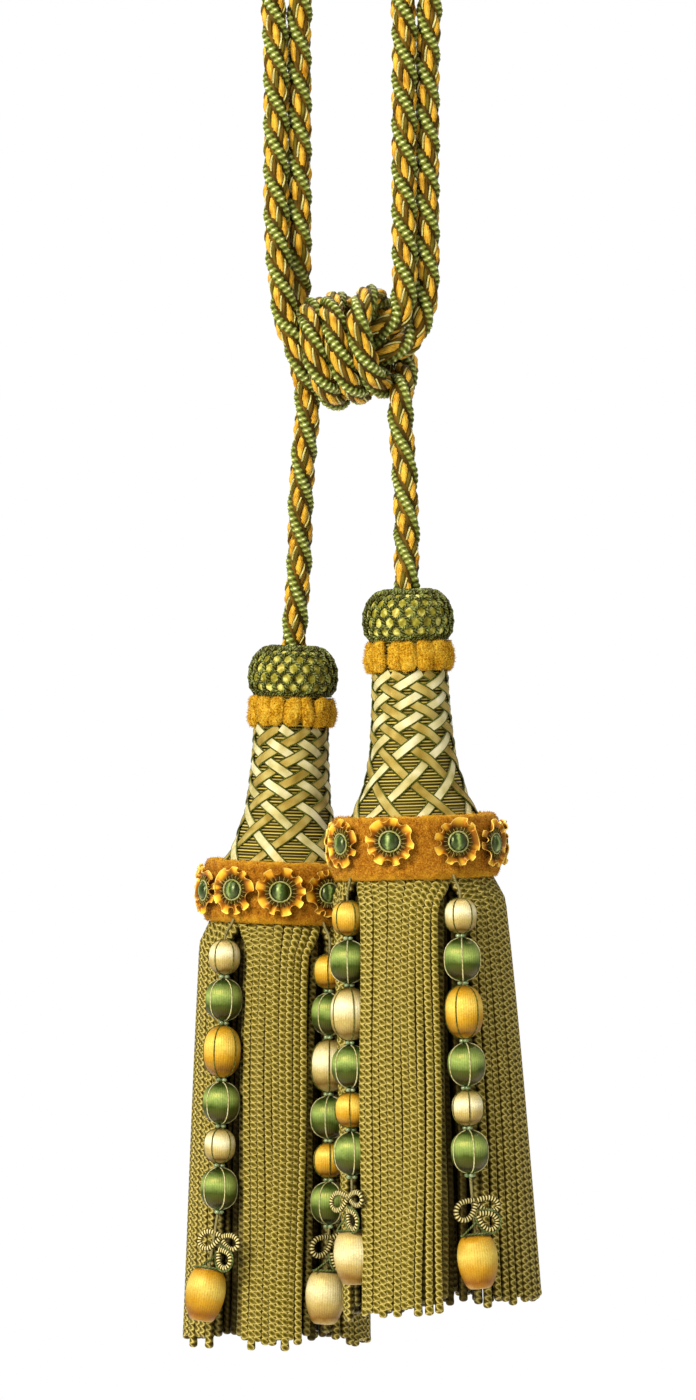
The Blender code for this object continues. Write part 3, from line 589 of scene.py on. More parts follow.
# ---------------------------------------------------------------- ruffs
# A strip of thick cut chenille gathered under the cap, so that it stands in plump upright
# lobes with a soft, furry surface.
RUFF_LOBES = 15
RUFF_REACH = 15.5  # from the tassel's middle to the lobes'
RUFF_HEIGHT = 12.2
RUFF_TOP = -CAP_HEIGHT - 0.3
RUFF_MIDDLE = RUFF_TOP - RUFF_HEIGHT / 2
PILE_ORDER = (1.0, 7.31, 53.17)


def pile(piece, count, size, length, seed):
    """Stand short tufts of pile on a piece made in mm, and join them to it."""
    mesh = piece.data
    mesh.calc_loop_triangles()
    points = np.array([v.co for v in mesh.vertices])
    corners = points[[list(t.vertices) for t in mesh.loop_triangles]]
    # the triangles and their corners are taken by their place, in the same order each run
    first = np.argmin(corners @ PILE_ORDER, axis=1)[:, None]
    corners = np.take_along_axis(corners, ((first + np.arange(3)) % 3)[:, :, None], axis=1)
    order = np.argsort(corners.mean(axis=1) @ PILE_ORDER)
    a, b, c = corners[order].transpose(1, 0, 2)
    cross = np.cross(b - a, c - a)
    area = np.linalg.norm(cross, axis=1)
    rng = np.random.default_rng(seed)
    chosen = rng.choice(len(area), count, p=area / area.sum())
    share = np.sort(rng.random((count, 2)), axis=1)
    root = (a[chosen] * share[:, :1] + b[chosen] * (share[:, 1:] - share[:, :1])
            + c[chosen] * (1 - share[:, 1:]))
    out = unit(unit(cross[chosen]) + rng.normal(0.0, 0.55, (count, 3)))
    side = unit(np.cross(out, rng.normal(0.0, 1.0, (count, 3))))
    other = np.cross(out, side)
    tip = root + out * rng.uniform(*length, (count, 1))
    tufts = np.stack([root + size * side, root + size * (-0.5 * side + 0.87 * other),
                      root + size * (-0.5 * side - 0.87 * other), tip], axis=1)
    faces = np.arange(count)[:, None, None] * 4 + [[0, 1, 3], [1, 2, 3], [2, 0, 3], [0, 2, 1]]
    uvs = None
    if "laid" in mesh.uv_layers:
        under = mesh.uv_layers["laid"].data
        loops = [mesh.loop_triangles[i].loops[first[i, 0]] for i in order[chosen]]
        uvs = np.repeat([under[loop].uv for loop in loops], 12, axis=0)
    fur = new_piece("tufts", tufts.reshape(-1, 3), faces.reshape(-1, 3).tolist(), uvs,
                    mesh.materials)
    return joined(piece.name, [piece, fur])


def roughen(piece, size, strength, shift):
    """Push the surface in and out with soft noise of that size, in mm."""
    mesh = piece.data
    points = np.array([v.co for v in mesh.vertices])
    normals = np.array([n.vector for n in mesh.vertex_normals])
    move = np.array([noise.noise(Vector(p) / size + Vector(shift)) for p in points])
    mesh.vertices.foreach_set("co", (points + normals * (move * strength)[:, None]).ravel())
    mesh.update()


def chenille(name, stops, scale, depth, edge=None):
    """Cut pile: matt, with painted shade down between its tufts, and along a band's edges another
    colour.
    """
    mat = new_material(name, 0.95, specular=0.15, sheen=0.15)
    mat.node_tree.nodes["Principled BSDF"].inputs["Sheen Roughness"].default_value = 0.45
    place = node(mat, "TexCoord", output="Object")
    tuft = node(mat, "TexNoise", {"Vector": place, "Scale": scale, "Detail": 2.0})
    cloud = node(mat, "TexNoise", {"Vector": place, "Scale": scale * 0.22, "Detail": 3.0,
                                   "Roughness": 0.6})
    cloud = node(mat, "Math", [cloud, 0.55], operation="MULTIPLY")
    share = node(mat, "Math", [tuft, 0.9, cloud], operation="MULTIPLY_ADD")
    share = node(mat, "Math", [share, 0.25], operation="SUBTRACT")
    colour = node(mat, "ValToRGB", [share], stops)
    if edge:
        frayed = node(mat, "TexNoise", {"Vector": place, "Scale": 330.0, "Detail": 2.0})
        stray = node(mat, "Math", [frayed, 9.0, lying(mat)[1]], operation="MULTIPLY_ADD")
        stray = node(mat, "Math", [stray, 0.02], operation="MULTIPLY")
        at_edge = node(mat, "ValToRGB", [stray], {0.17: "#FFFFFF", 0.27: "#000000",
                                                  0.66: "#000000", 0.80: "#FFFFFF"})
        colour = node(mat, "Mix", {0: at_edge, 6: colour, 7: hex_colour(edge)}, output=2,
                      data_type="RGBA")
    return paint(mat, colour, tuft, depth)


# Cut chenille, dyed golden yellow: no gloss, with soft painted shade between the tufts.
YELLOW_CHENILLE = chenille("cut_chenille_yellow",
                           {0.30: "#895704", 0.46: "#B38519", 0.66: "#C4A43B"}, 1500.0, 0.5)
for side, seed in (("right", 3), ("left", 5)):
    rng = np.random.default_rng(seed)
    lobes = []
    for i in range(RUFF_LOBES):
        azimuth = (i + rng.uniform(-0.2, 0.2)) * 360 / RUFF_LOBES
        bpy.ops.mesh.primitive_uv_sphere_add(
            segments=16, ring_count=14, radius=1.0,
            location=heading(azimuth) * RUFF_REACH + Vector((0, 0, RUFF_MIDDLE)),
            rotation=(0.0, radians(rng.uniform(-12, 12)), radians(azimuth)))
        lobe = bpy.context.object
        lobe.scale = (4.0 * rng.uniform(0.8, 1.2), 2.5 * rng.uniform(0.85, 1.1),
                      6.6 * rng.uniform(0.92, 1.0))
        bpy.ops.object.transform_apply(location=True, rotation=True, scale=True)
        # squarer than a ball: its ends are pushed out to the strip's edges
        ends = rng.uniform(5.4, 6.2)
        for vertex in lobe.data.vertices:
            rise = vertex.co.z - RUFF_MIDDLE
            vertex.co.z = RUFF_MIDDLE + ends * np.sign(rise) * min(1.0, abs(rise) / 5.6)
        lobes.append(lobe)
    ruff = joined(side + "_ruff_chenille", lobes)
    roughen(ruff, 4.0, 0.9, (seed, 0, 0))
    roughen(ruff, 1.2, 0.3, (0, seed, 0))
    ruff.data.materials.append(YELLOW_CHENILLE)
    fit(pile(ruff, 9000, 0.10, (0.5, 1.3), seed), head_frame(side), "ruff", side + "_ruff")

# ---------------------------------------------------------------- necks
# A flared wooden mould wound with fine cord, olive and brown in turn, and over it a lattice of
# satin ribbon, seven each way, plaited closely at the top and opening out to the collar. Each
# ribbon has a thin dark green cord along both its edges.
NECK_LENGTH = {"right": 57.2, "left": 54.5}
NECK_TOP = RUFF_TOP - RUFF_HEIGHT - 0.3
NECK_CORE = 13.9  # radius of the mould where the ruff goes round it
RIM_RADIUS = 29.7  # and inside the collar
# share of the neck's length below the ruff, radius
NECK_PROFILE = np.array([(0.0, 15.0), (0.22, 15.4), (0.45, 16.4), (0.58, 17.2), (0.70, 18.8),
                         (0.84, 21.2), (0.97, 24.8), (1.04, 27.2)])
WINDING_PITCH = 1.45  # 1.2 mm on the real neck, drawn coarser so that it shows
RIBBONS = 7
RIBBON_WIDTH = 3.05
RIBBON_SECTION = np.array([(0.17, -0.5), (0.23, -0.259), (0.26, 0.0), (0.23, 0.259), (0.17, 0.5),
                           (-0.2, 0.5), (-0.2, -0.5)]) * (1.0, RIBBON_WIDTH)
# how far below the ruff the two families of ribbon cross, each row half a ribbon further round,
# and the azimuth of a crossing in the second row
CROSSINGS = {"right": [-0.4, 3.6, 7.3, 11.3, 15.0, 19.3, 23.3, 28.8, 34.4, 42.4, 51.0, 61.0],
             "left": [-0.4, 4.2, 8.0, 12.2, 16.1, 20.6, 24.5, 29.2, 34.0, 41.2, 48.8, 59.0]}
FIRST_COLUMN = {"right": -5.0, "left": 7.5}


def neck_reach(side, down):
    """Radius of the neck's outside at a distance below the ruff."""
    return np.interp(down / NECK_LENGTH[side], *NECK_PROFILE.T)


def ribbon_path(side, number, lean):
    """A ribbon's middle and outward direction; lean is 1 where it goes right on its way down."""
    down = np.arange(0.0, NECK_LENGTH[side] + 2.0, 0.8)
    phase = np.interp(down, CROSSINGS[side], np.arange(len(CROSSINGS[side])) - 1.0)
    azimuth = FIRST_COLUMN[side] + 360 / RIBBONS * number + lean * 180 / RIBBONS * phase
    out = np.array([heading(a) for a in azimuth])
    over = -lean * np.cos(pi * phase)
    middle = out * (neck_reach(side, down) - 0.25 + 0.34 * over)[:, None]
    middle[:, 2] = NECK_TOP - down
    out[:, 2] = np.gradient(neck_reach(side, down), down)
    return middle, unit(out)


def ribbon_material(name, stops):
    """Satin ribbon: glossy, with fine lengthwise threads."""
    mat = new_material(name, 0.36, specular=0.7)
    satin_across(mat)
    threads = bands(mat, *lying(mat), 26.0, 0.0)
    drift = node(mat, "TexNoise", {"Vector": node(mat, "TexCoord", output="Object"),
                                   "Scale": 160.0, "Detail": 1.0})
    share = node(mat, "Math", [threads, 0.25, drift], operation="MULTIPLY_ADD")
    return paint(mat, node(mat, "ValToRGB", [share], stops), threads, 0.05)


# Fine viscose cord wound round the mould, alternately olive-gold and dark brown, with painted
# shade, nearly black, in the grooves between its turns.
WINDING = mat = new_material("couched_viscose_cord", 0.6, specular=0.35)
wound = lying(mat)[1]
ridge = bands(mat, wound, wound, 0.0, 1.0 / WINDING_PITCH)
pair = node(mat, "Math", [wound, 0.5 / WINDING_PITCH], operation="MULTIPLY")
pair = node(mat, "Math", [pair], operation="FRACT")
second = node(mat, "Math", [pair, 0.5], operation="GREATER_THAN")
olive = node(mat, "ValToRGB", [ridge], {0.2: "#0C0A02", 0.55: "#5A5014", 0.9: "#C4B45A"})
brown = node(mat, "ValToRGB", [ridge], {0.2: "#0C0802", 0.55: "#483E12", 0.9: "#9A8C48"})
colour = node(mat, "Mix", {0: second, 6: olive, 7: brown}, output=2, data_type="RGBA")
paint(mat, colour, ridge, 0.15)
# Viscose satin ribbon, one cream-gold satin that shines along its threads, in two copies: a cream
# one with painted light and an old gold one with painted shade, one for each way the ribbons lean.
RIBBON_PAINTED_LIT = ribbon_material("satin_ribbon_painted_lit",
                               {0.3: "#94874A", 0.55: "#B8B07A", 0.85: "#D6D0AE"})
RIBBON_PAINTED_SHADE = ribbon_material("satin_ribbon_painted_shade",
                              {0.3: "#6C571B", 0.55: "#937D37", 0.85: "#B2A565"})
# Fine two-ply cord, dark green and dull.
EDGE_CORD = spun_yarn("edging_cord_dark_green",
                      {0.2: "#111703", 0.6: "#2C370C", 1.0: "#5C6527"}, 0.6, 2, 0.9, 0.08)
for side in ("right", "left"):
    long = NECK_LENGTH[side]
    profile = [(NECK_CORE, RUFF_TOP + 0.8), (NECK_CORE, NECK_TOP)]
    for down in np.arange(0.0, long - 0.3, WINDING_PITCH / 4):
        cord = 0.32 * abs(sin(pi * down / WINDING_PITCH)) ** 0.5
        profile.append((neck_reach(side, down) - 1.05 + cord, NECK_TOP - down))
    profile += [(RIM_RADIUS, NECK_TOP - long - 4.5), (RIM_RADIUS, NECK_TOP - long - 17.5)]
    mould = turned(side + "_neck_mould", profile, 56, WINDING)
    fit(mould, head_frame(side), "neck", side + "_neck")

    lattice = Strands()
    for number in range(RIBBONS):
        # one way of leaning takes the copy with painted light and the other the copy with painted
        # shade, swapped between the two tassels
        for lean, finish in ((-1, int(side == "left")), (1, int(side == "right"))):
            middle, out = ribbon_path(side, number, lean)
            lattice.add(middle, 1.0, RIBBON_SECTION, out, finish)
            across = unit(np.cross(unit(np.gradient(middle, axis=0)), out))
            for edge in (-1, 1):
                lattice.add(middle + across * edge * (RIBBON_WIDTH / 2 + 0.26) - out * 0.05,
                            0.38, ring_section(4), out, 2)
    fit(lattice.piece(side + "_neck_lattice", [RIBBON_PAINTED_LIT, RIBBON_PAINTED_SHADE, EDGE_CORD]),
        head_frame(side), "neck")

# ---------------------------------------------------------------- collars
# A band of orange chenille round the mould's rim, over the skirt's heading: thick, felted and
# frayed along both edges.
COLLAR_HEIGHT = 24.0
COLLAR_SIDES = 144
COLLAR_PROFILE = [(28.2, -3.0), (27.4, -0.6), (28.6, 0.5), (31.2, 0.5), (32.6, -1.6),
                  (33.0, -6.0), (33.0, -18.0), (32.8, -21.8), (31.8, -24.0), (30.4, -23.8),
                  (30.2, -21.0)]
COLLAR_TOP = {side: NECK_TOP - long for side, long in NECK_LENGTH.items()}
COLLAR_BOTTOM = {side: top - COLLAR_HEIGHT for side, top in COLLAR_TOP.items()}

# Cut chenille felted by handling: matt orange, with painted shade, brownish, in its hollows, golden
# at its edges.
ORANGE_CHENILLE = chenille("cut_chenille_orange",
                           {0.26: "#6A3C06", 0.48: "#925C14", 0.70: "#B2822A"}, 1700.0, 0.35,
                           edge="#B98A1E")
for side, seed in (("right", 13), ("left", 17)):
    outline = smooth_route(COLLAR_PROFILE, 1.1)[0] + (0.0, COLLAR_TOP[side])
    collar = turned(side + "_collar_chenille", outline.tolist(), COLLAR_SIDES, ORANGE_CHENILLE,
                    closed=False)
    roughen(collar, 3.5, 0.5, (seed, 0, 0))
    roughen(collar, 0.8, 0.25, (0, seed, 0))
    # the band's inner face closes it round the mould
    bpy.ops.object.mode_set(mode="EDIT")
    bpy.ops.mesh.select_all(action="DESELECT")
    bpy.ops.mesh.select_non_manifold()
    bpy.ops.mesh.bridge_edge_loops()
    bpy.ops.mesh.select_all(action="SELECT")
    bpy.ops.mesh.normals_make_consistent(inside=False)
    bpy.ops.object.mode_set(mode="OBJECT")
    fit(pile(collar, 18000, 0.09, (0.4, 1.2), seed), head_frame(side), "collar",
        side + "_collar")

# ---------------------------------------------------------------- rosettes
# Flowers sewn round the collar: a gold braid ribbon gathered into nine ruffles, a ring of dark
# stitches over its inner edge, and a domed mould covered in green satin in the middle.
ROSETTES = {"right": (-57, -17, 28, 63, 100, 142, 194, 245),
            "left": (-69, -37, -3, 30, 75, 121, 168, 214, 254)}
# above the collar's middle, the rest 1 mm
ROSETTE_RISE = {("right", 1): 2.6, ("right", 2): 3.2, ("right", 3): 2.2, ("right", 4): 0.8,
                ("left", 1): 0.0}
COLLAR_REACH = 33.2
RUFFLES = 9
RUFFLE_STEPS = 108
STITCHES = 44
BUTTON_PROFILE = [(0.4, 4.0), (1.4, 3.85), (2.4, 3.4), (3.1, 2.8), (3.6, 2.0), (3.7, 0.4)]
# rows of the gathered ribbon: radius, height, and how far it waves outward, up and sideways
RUFFLE_ROWS = [(4.2, 1.3, 0.0, 0.0, 0.0), (5.6, 1.5, 0.0, 0.0, 0.0), (6.6, 1.7, 0.2, 0.3, 0.05),
               (7.5, 2.2, 0.7, 0.7, 0.2), (8.4, 2.6, 1.15, 0.7, 0.45), (8.8, 2.9, 1.35, 0.5, 0.6)]
UP = (0.0, 0.0, 1.0)


def flower(name, seed):
    """A flat rosette facing +Z, in mm."""
    rng = np.random.default_rng(seed)
    turn = np.linspace(0, 2 * pi, RUFFLE_STEPS, endpoint=False)
    knots = np.arange(RUFFLES + 1) * 2 * pi / RUFFLES
    fullness, shift = [np.interp(turn, knots, np.append(values, values[0])) for values in
                       (rng.uniform(0.35, 1.25, RUFFLES), rng.uniform(-1.1, 1.1, RUFFLES))]
    phase = RUFFLES * (turn + shift / 3)
    swell = np.sin(phase) + 0.45 * np.cos(phase) ** 2 - 0.2
    upper, lower = [], []
    for reach, rise, outward, upward, aside in RUFFLE_ROWS:
        r = reach + outward * fullness * swell
        angle = turn - aside * fullness * np.sin(2 * phase) / reach
        for rows, lift in ((upper, 0.2), (lower, -0.2)):
            rows.append(np.stack([r * np.cos(angle), r * np.sin(angle),
                                  rise - upward * swell + lift], axis=1))
    rings = upper + lower[::-1]
    faces, uvs = [], []
    for row in range(len(rings)):
        after = (row + 1) % len(rings)
        low, high = [min(k, len(rings) - 1 - k) / (len(upper) - 1) for k in (row, after)]
        for i in range(RUFFLE_STEPS):
            j = (i + 1) % RUFFLE_STEPS
            faces.append([k * RUFFLE_STEPS + m for k, m in ((row, i), (after, i), (after, j),
                                                            (row, j))])
            here, there = [0.5 + 0.5 * sin(phase[k]) for k in (i, j)]
            uvs += [(here, low), (here, high), (there, high), (there, low)]
    ruffle = new_piece("ruffle", np.concatenate(rings), faces, np.array(uvs), [BRAID], 60)

    stitches = Strands()
    for i in range(STITCHES):
        angle = 2 * pi * (i + rng.uniform(-0.2, 0.2)) / STITCHES
        away = np.array([cos(angle), sin(angle), 0.0])
        first, last = rng.uniform(4.2, 4.6), rng.uniform(5.5, 6.5)
        middle = [away * r + (0, 0, z) for r, z in
                  ((first, 1.9), ((first + last) / 2, 2.4), (last, 2.1))]
        stitches.add(middle, 0.22 if i % 2 else 0.17, ring_section(4), UP, i % 2)
    stitches.add(hoop(4.0, 2.2), 0.4, ring_section(6), UP, 2)
    return joined(name, [ruffle, stitches.piece("stitches", [STITCH_PALE, STITCH_DARK, RIM_CORD]),
                         turned("button", BUTTON_PROFILE, 24, GREEN_BUTTON)])


# Gold braid ribbon: a satin weave with a pale corded edge, glossy on its folds, with painted shade
# in the hollows between its ruffles, kept off its rim, and darker towards its gathered inner edge.
BRAID = mat = new_material("gold_braid_ribbon", 0.36, specular=0.6)
swelling, to_edge = lying(mat)
place = node(mat, "TexCoord", output="Object")
weave = node(mat, "TexNoise", {"Vector": place, "Scale": 900.0, "Detail": 1.0})
cloud = node(mat, "TexNoise", {"Vector": place, "Scale": 210.0, "Detail": 1.0})
# painted shade: deeper in the ruffles' hollows, and at random places
painted_fold_shade = node(mat, "Math", [cloud, 1.5, swelling], operation="MULTIPLY_ADD")
painted_fold_shade = node(mat, "Math", [painted_fold_shade, 0.4], operation="MULTIPLY")
gold = node(mat, "ValToRGB", [to_edge], {0.20: "#4C2C06", 0.38: "#8C5C14", 0.58: "#C8941E",
                                         0.80: "#F0C03E", 0.93: "#ECCB62"})
shade = node(mat, "ValToRGB", [painted_fold_shade], {0.36: "#8C5C2C", 0.52: "#CC9860", 0.68: "#FFFFFF"})
shade_weight_to_rim = node(mat, "MapRange", [to_edge, 0.86, 0.93, 0.9, 0.1])
colour = node(mat, "Mix", {0: shade_weight_to_rim, 6: gold, 7: shade}, output=2, data_type="RGBA",
              blend_type="MULTIPLY")
paint(mat, colour, weave, 0.08)
# Sewing silk: dark brown stitches and pale ones between them, slightly glossy.
STITCH_DARK = spun_yarn("sewing_silk_brown", {0.2: "#1E1603", 0.7: "#3A2D07"}, 0.5, 2, 0.8, 0.05)
STITCH_PALE = spun_yarn("sewing_silk_pale", {0.2: "#504010", 0.7: "#8C7D38"}, 0.5, 2, 0.8, 0.05)
RIM_CORD = spun_yarn("silk_cord_pale_green",
                     {0.2: "#5F5F25", 0.6: "#858645", 1.0: "#A8A877"}, 0.5, 2, 0.6, 0.08)
# Green satin over a domed mould: its threads run level, so its gloss spreads in one upright band,
# and a painted highlight lies in that band, with painted shade to either side.
GREEN_BUTTON = mat = new_material("satin_button_green", 0.32, specular=0.8, gloss="#E4F0B0")
satin_across(mat, 0.85)
silk = node(mat, "TexNoise", {"Vector": node(mat, "TexCoord", output="Object"),
                              "Scale": 700.0, "Detail": 1.0})
# the painted highlight band runs up the button's middle, and painted shade darkens it towards its
# sides
aside = node(mat, "MapRange", [lying(mat)[1], -3.7, 3.7, 0.0, 1.0])
mixed = node(mat, "Math", [silk, 0.24, aside], operation="MULTIPLY_ADD")
colour = node(mat, "ValToRGB", [mixed], {0.18: "#0C1403", 0.42: "#243710", 0.55: "#7F934C",
                                         0.66: "#2C4215", 0.95: "#121C05"})
paint(mat, colour, silk, 0.05)
for side, azimuths in ROSETTES.items():
    for number, azimuth in enumerate(azimuths, 1):
        rosette = flower(f"{side}_flower_{number}", number + (20 if side == "left" else 0))
        level = COLLAR_TOP[side] - COLLAR_HEIGHT / 2 + ROSETTE_RISE.get((side, number), 1.0)
        spin = radians(37 * number)
        satin = rosette.data.materials.find(GREEN_BUTTON.name)
        laid = rosette.data.uv_layers["laid"].data
        spun = [(v.co.x * cos(spin) - v.co.y * sin(spin), v.co.x * sin(spin) + v.co.y * cos(spin))
                for v in rosette.data.vertices]
        # the button's threads lie level, so its map goes up and across
        for face in rosette.data.polygons:
            if face.material_index == satin:
                for loop, i in zip(face.loop_indices, face.vertices):
                    laid[loop].uv = spun[i][::-1]
        # and the flat flower is laid round the collar
        for vertex, (x, y) in zip(rosette.data.vertices, spun):
            vertex.co = (heading(azimuth + degrees(x / COLLAR_REACH))
                         * (COLLAR_REACH + 0.2 + vertex.co.z) + Vector((0, 0, level + y)))
        fit(rosette, head_frame(side), "rosette", f"{side}_rosette_{number}")

# ---------------------------------------------------------------- skirts
# Bullion fringe sewn in four rows under the collar: two-ply olive cords, 3.3 mm thick, hanging
# side by side and cut by hand at the hem. They part where the strings of beads hang.
PARTING = 7.7  # how far the outer cords keep from a string's middle
# a string of beads, in mm and degrees: its distance from the tassel's middle, its first bead
# below the collar, its lean to the right, its drop's thread, that one's lean and slope outward,
# and how far the cords on its two sides keep away
Hanger = namedtuple("Hanger", "azimuth kind radius first lean thread drop_lean drop_out parting",
                    defaults=(37.7, 9.0, 0.0, 23.5, 0.0, 0.02, (PARTING, PARTING)))
HANGERS = {
    "right": (Hanger(26.0, "yellow", 37.7, 7.8, 0.4, 23.0, 2.4), Hanger(142, "cream"),
              Hanger(194, "yellow"),
              Hanger(306, "cream", 34.2, 7.8, 0.3, 20.8, 1.5, 0.02, (8.8, 8.2))),
    "left": (Hanger(29.5, "cream", 37.7, 11.2, 0.4, 17.5, -3.4),
             Hanger(121, "cream", 37.7, 8.0, -0.9, 22.0, -3.5), Hanger(214, "yellow"),
             Hanger(321.5, "yellow", 37.7, 7.0, 0.0, 22.6, -4.6, 0.08)),
}
HANGER_SLOPE = 0.01  # how the strings move out, a share of the way down
# how far the cords at a side hang off at the hem, the azimuth of that side, the azimuth they go
# toward, and how narrow that side is
SWINGS = {"right": ((14.6, 90, 90, 1.5), (6.0, -90, 90, 3.0)),
          "left": ((6.4, -90, -90, 1.5), (3.2, 16, -90, 10.0))}
HEM = {"right": (170.5, 3.5), "left": (168.5, 0.0)}  # length, how much less at the right
# depth below the collar, radius of the outer row
SKIRT_FALL = np.array([(-3.0, 27.0), (-1.2, 27.4), (9.0, 32.0), (70.0, 32.4), (176.0, 33.2)])
CLOSED_GAP = 1.3  # what is left of the parting above the first bead
CLOSED_REACH = 33.0
BEAD_CLEAR = 9.3  # the inner cords keep this far from a string's middle
CORD_LAY = 5.2
# rows of cords: how far inside the outer one, spacing, finish (the inner rows take copies with
# painted shade), radius
CORD_ROWS = [(0.0, 2.85, 0, 1.66), (2.9, 3.4, 1, 1.66), (6.0, 3.9, 2, 1.66), (9.6, 3.6, 2, 2.1)]


def skirt_reach(depth):
    """Radius of the outer row at a depth below the collar."""
    return float(np.interp(depth, *SKIRT_FALL.T))


def apart(azimuth, other):
    """Degrees from the other azimuth to this one, the short way round."""
    return (azimuth - other + 180) % 360 - 180


def swing_aside(side, azimuth, share):
    """How far the skirt hangs off to the sides, at a share of the way down to its hem."""
    aside = Vector((0.0, 0.0, 0.0))
    for amount, flank, toward, narrow in SWINGS[side]:
        nearness = max(0.0, cos(radians(azimuth - flank))) ** narrow
        aside += heading(toward) * amount * nearness
    return aside * share ** 0.8


def hanger_slope(side, row):
    """Sideways slope of a string of beads."""
    slope = swing_aside(side, row.azimuth, 1.0) / HEM[side][0] + heading(row.azimuth) * HANGER_SLOPE
    return slope + Vector((tan(radians(row.lean)), 0.0, 0.0))


def clear_of_hangers(side, offset, depth):
    """Whether a place this far from the tassel's middle keeps off every string at that depth."""
    return all((offset - heading(row.azimuth) * row.radius
                - hanger_slope(side, row) * (depth - row.first)).xy.length >= BEAD_CLEAR
               for row in HANGERS[side])


def cord_lift(side, azimuth):
    """How far the cords lie out over the right flank of the right tassel's fourth string."""
    past = apart(azimuth, HANGERS["right"][3].azimuth)
    lifted = side == "right" and 8.0 < past < 34.0
    return 2.2 * min(1.0, 1.0 - (past - 12.0) / 22.0) if lifted else 0.0


def closed_above(side, azimuth, depth):
    """Azimuth of an outer cord at a depth: above each string's first bead the cords close up."""
    rows = HANGERS[side]
    nearest = min(rows, key=lambda row: abs(apart(azimuth, row.azimuth)))
    way = 1 if apart(azimuth, nearest.azimuth) > 0 else -1
    middle = radians(min((row.azimuth - nearest.azimuth) * way % 360
                         for row in rows if row is not nearest)) / 2 * CLOSED_REACH
    distance = radians(abs(apart(azimuth, nearest.azimuth))) * CLOSED_REACH
    closed = CLOSED_GAP + (distance - PARTING) * (middle - CLOSED_GAP) / (middle - PARTING)
    parted = min(1.0, max(0.0, depth) / (nearest.first + 3.0))
    distance = closed + (distance - closed) * parted * parted * (3 - 2 * parted)
    return nearest.azimuth + degrees(distance / CLOSED_REACH) * way


def row_azimuths(side, inward, spacing):
    """Azimuths of a row of cords; the outer row parts at the strings of beads."""
    radius = skirt_reach(60.0) - inward
    if inward:
        count = int(2 * pi * radius / spacing)
        return [360.0 * (i + 0.5) / count for i in range(count)]
    azimuths = []
    for first, second in zip(HANGERS[side], HANGERS[side][1:] + HANGERS[side][:1]):
        start = first.azimuth + degrees(first.parting[1] / radius)
        end = second.azimuth - degrees(second.parting[0] / radius)
        end += 360 if end < start else 0
        azimuths += list(np.linspace(start, end,
                                     int(radians(end - start) * radius / spacing) + 1))
    return azimuths


def skirt(side, seed):
    """All the cords of a skirt, from their roots behind the collar to their cut ends."""
    rng = np.random.default_rng(seed)
    hem, slope = HEM[side]
    base = head_frame(side) @ Vector((0.0, 0.0, COLLAR_BOTTOM[side]))
    strands = Strands()
    for inward, spacing, finish, radius in CORD_ROWS:
        for number, azimuth in enumerate(row_azimuths(side, inward, spacing)):
            end = hem - slope * sin(radians(azimuth)) + rng.uniform(-2.6, 2.2) - (
                3.0 if inward else 0.0)
            wander = rng.uniform(-1.0, 1.0, 4)
            depths = np.concatenate([np.linspace(-3.0, 12.0, 5)[:-1],
                                     np.linspace(12.0, end - 3.0, 26)[:-1],
                                     end - np.array([3.0, 1.6, 0.8, 0.3, 0.0])])
            points = []
            clear = True
            for depth in depths:
                share = max(0.0, depth) / hem
                here = heading(azimuth) * (skirt_reach(depth) - inward)
                if not inward:
                    lift = cord_lift(side, azimuth) * min(1.0, max(0.0, depth) / 12)
                    here = heading(closed_above(side, azimuth, depth)) * (
                        skirt_reach(depth) + lift)
                here += swing_aside(side, azimuth, share)
                if inward and 9.0 < depth:
                    clear = clear and clear_of_hangers(side, here, depth)
                sway = 0.5 * sin(2 * pi * share * 1.4 + 0.06 * azimuth) + (
                    0.14 * sin(2 * pi * share * (1.6 + 0.7 * wander[0]) + 3 * wander[1]))
                here += heading(azimuth + 90) * (sway + 0.5 * wander[2] * share ** 2)
                here += heading(azimuth) * (0.45 * (number % 2 - 0.5) + 0.4 * wander[3] * share)
                points.append(base + here - Vector((0.0, 0.0, depth)))
            if clear:
                # pressed together at the top, and frayed to a blunt end at the hem
                size = radius * np.interp(depths, [0.0, 14.0], [1.36, 1.0])
                size[-4:] *= (1.08, 1.04, 0.8, 0.4)
                strands.add(points, size, ring_section(8), heading(azimuth), finish,
                            rng.uniform(0, CORD_LAY))
    return strands.piece(side + "_bullion", [BULLION, BULLION_PAINTED_SHADE, BULLION_PAINTED_DEEP_SHADE])


def bullion(name, stops):
    """Two-ply cord: each half turn of a ply shows as a rounded link, with a painted highlight on
    its rim and painted shade between the links and on the cord's flanks.
    """
    mat = new_material(name, 0.5)
    around, along = lying(mat)
    aside = node(mat, "Math", [around, 2 * pi], operation="MULTIPLY")
    aside = node(mat, "Math", [aside], operation="SINE")
    level = node(mat, "Math", [aside, 0.22], operation="MULTIPLY")
    level = node(mat, "Math", [along, 2.0 / CORD_LAY, level], operation="MULTIPLY_ADD")
    level = node(mat, "Math", [level], operation="FRACT")
    level = node(mat, "Math", [level, 2.0, -1.0], operation="MULTIPLY_ADD")
    link = node(mat, "VectorMath", [node(mat, "CombineXYZ", [aside, level])], output="Value",
                operation="LENGTH")
    wear_and_painted_rim = node(mat, "TexNoise", {"Vector": node(mat, "TexCoord", output="Object"),
                                  "Scale": 900.0, "Detail": 1.0})
    wear_and_painted_rim = node(mat, "Math", [wear_and_painted_rim, 0.30, link], operation="MULTIPLY_ADD")
    wear_and_painted_rim = node(mat, "Math", [wear_and_painted_rim, 0.6], operation="MULTIPLY")
    colour = node(mat, "ValToRGB", [wear_and_painted_rim], stops)
    return paint(mat, sides_in_shade(mat, around, colour, 0.42), link, 0.35)


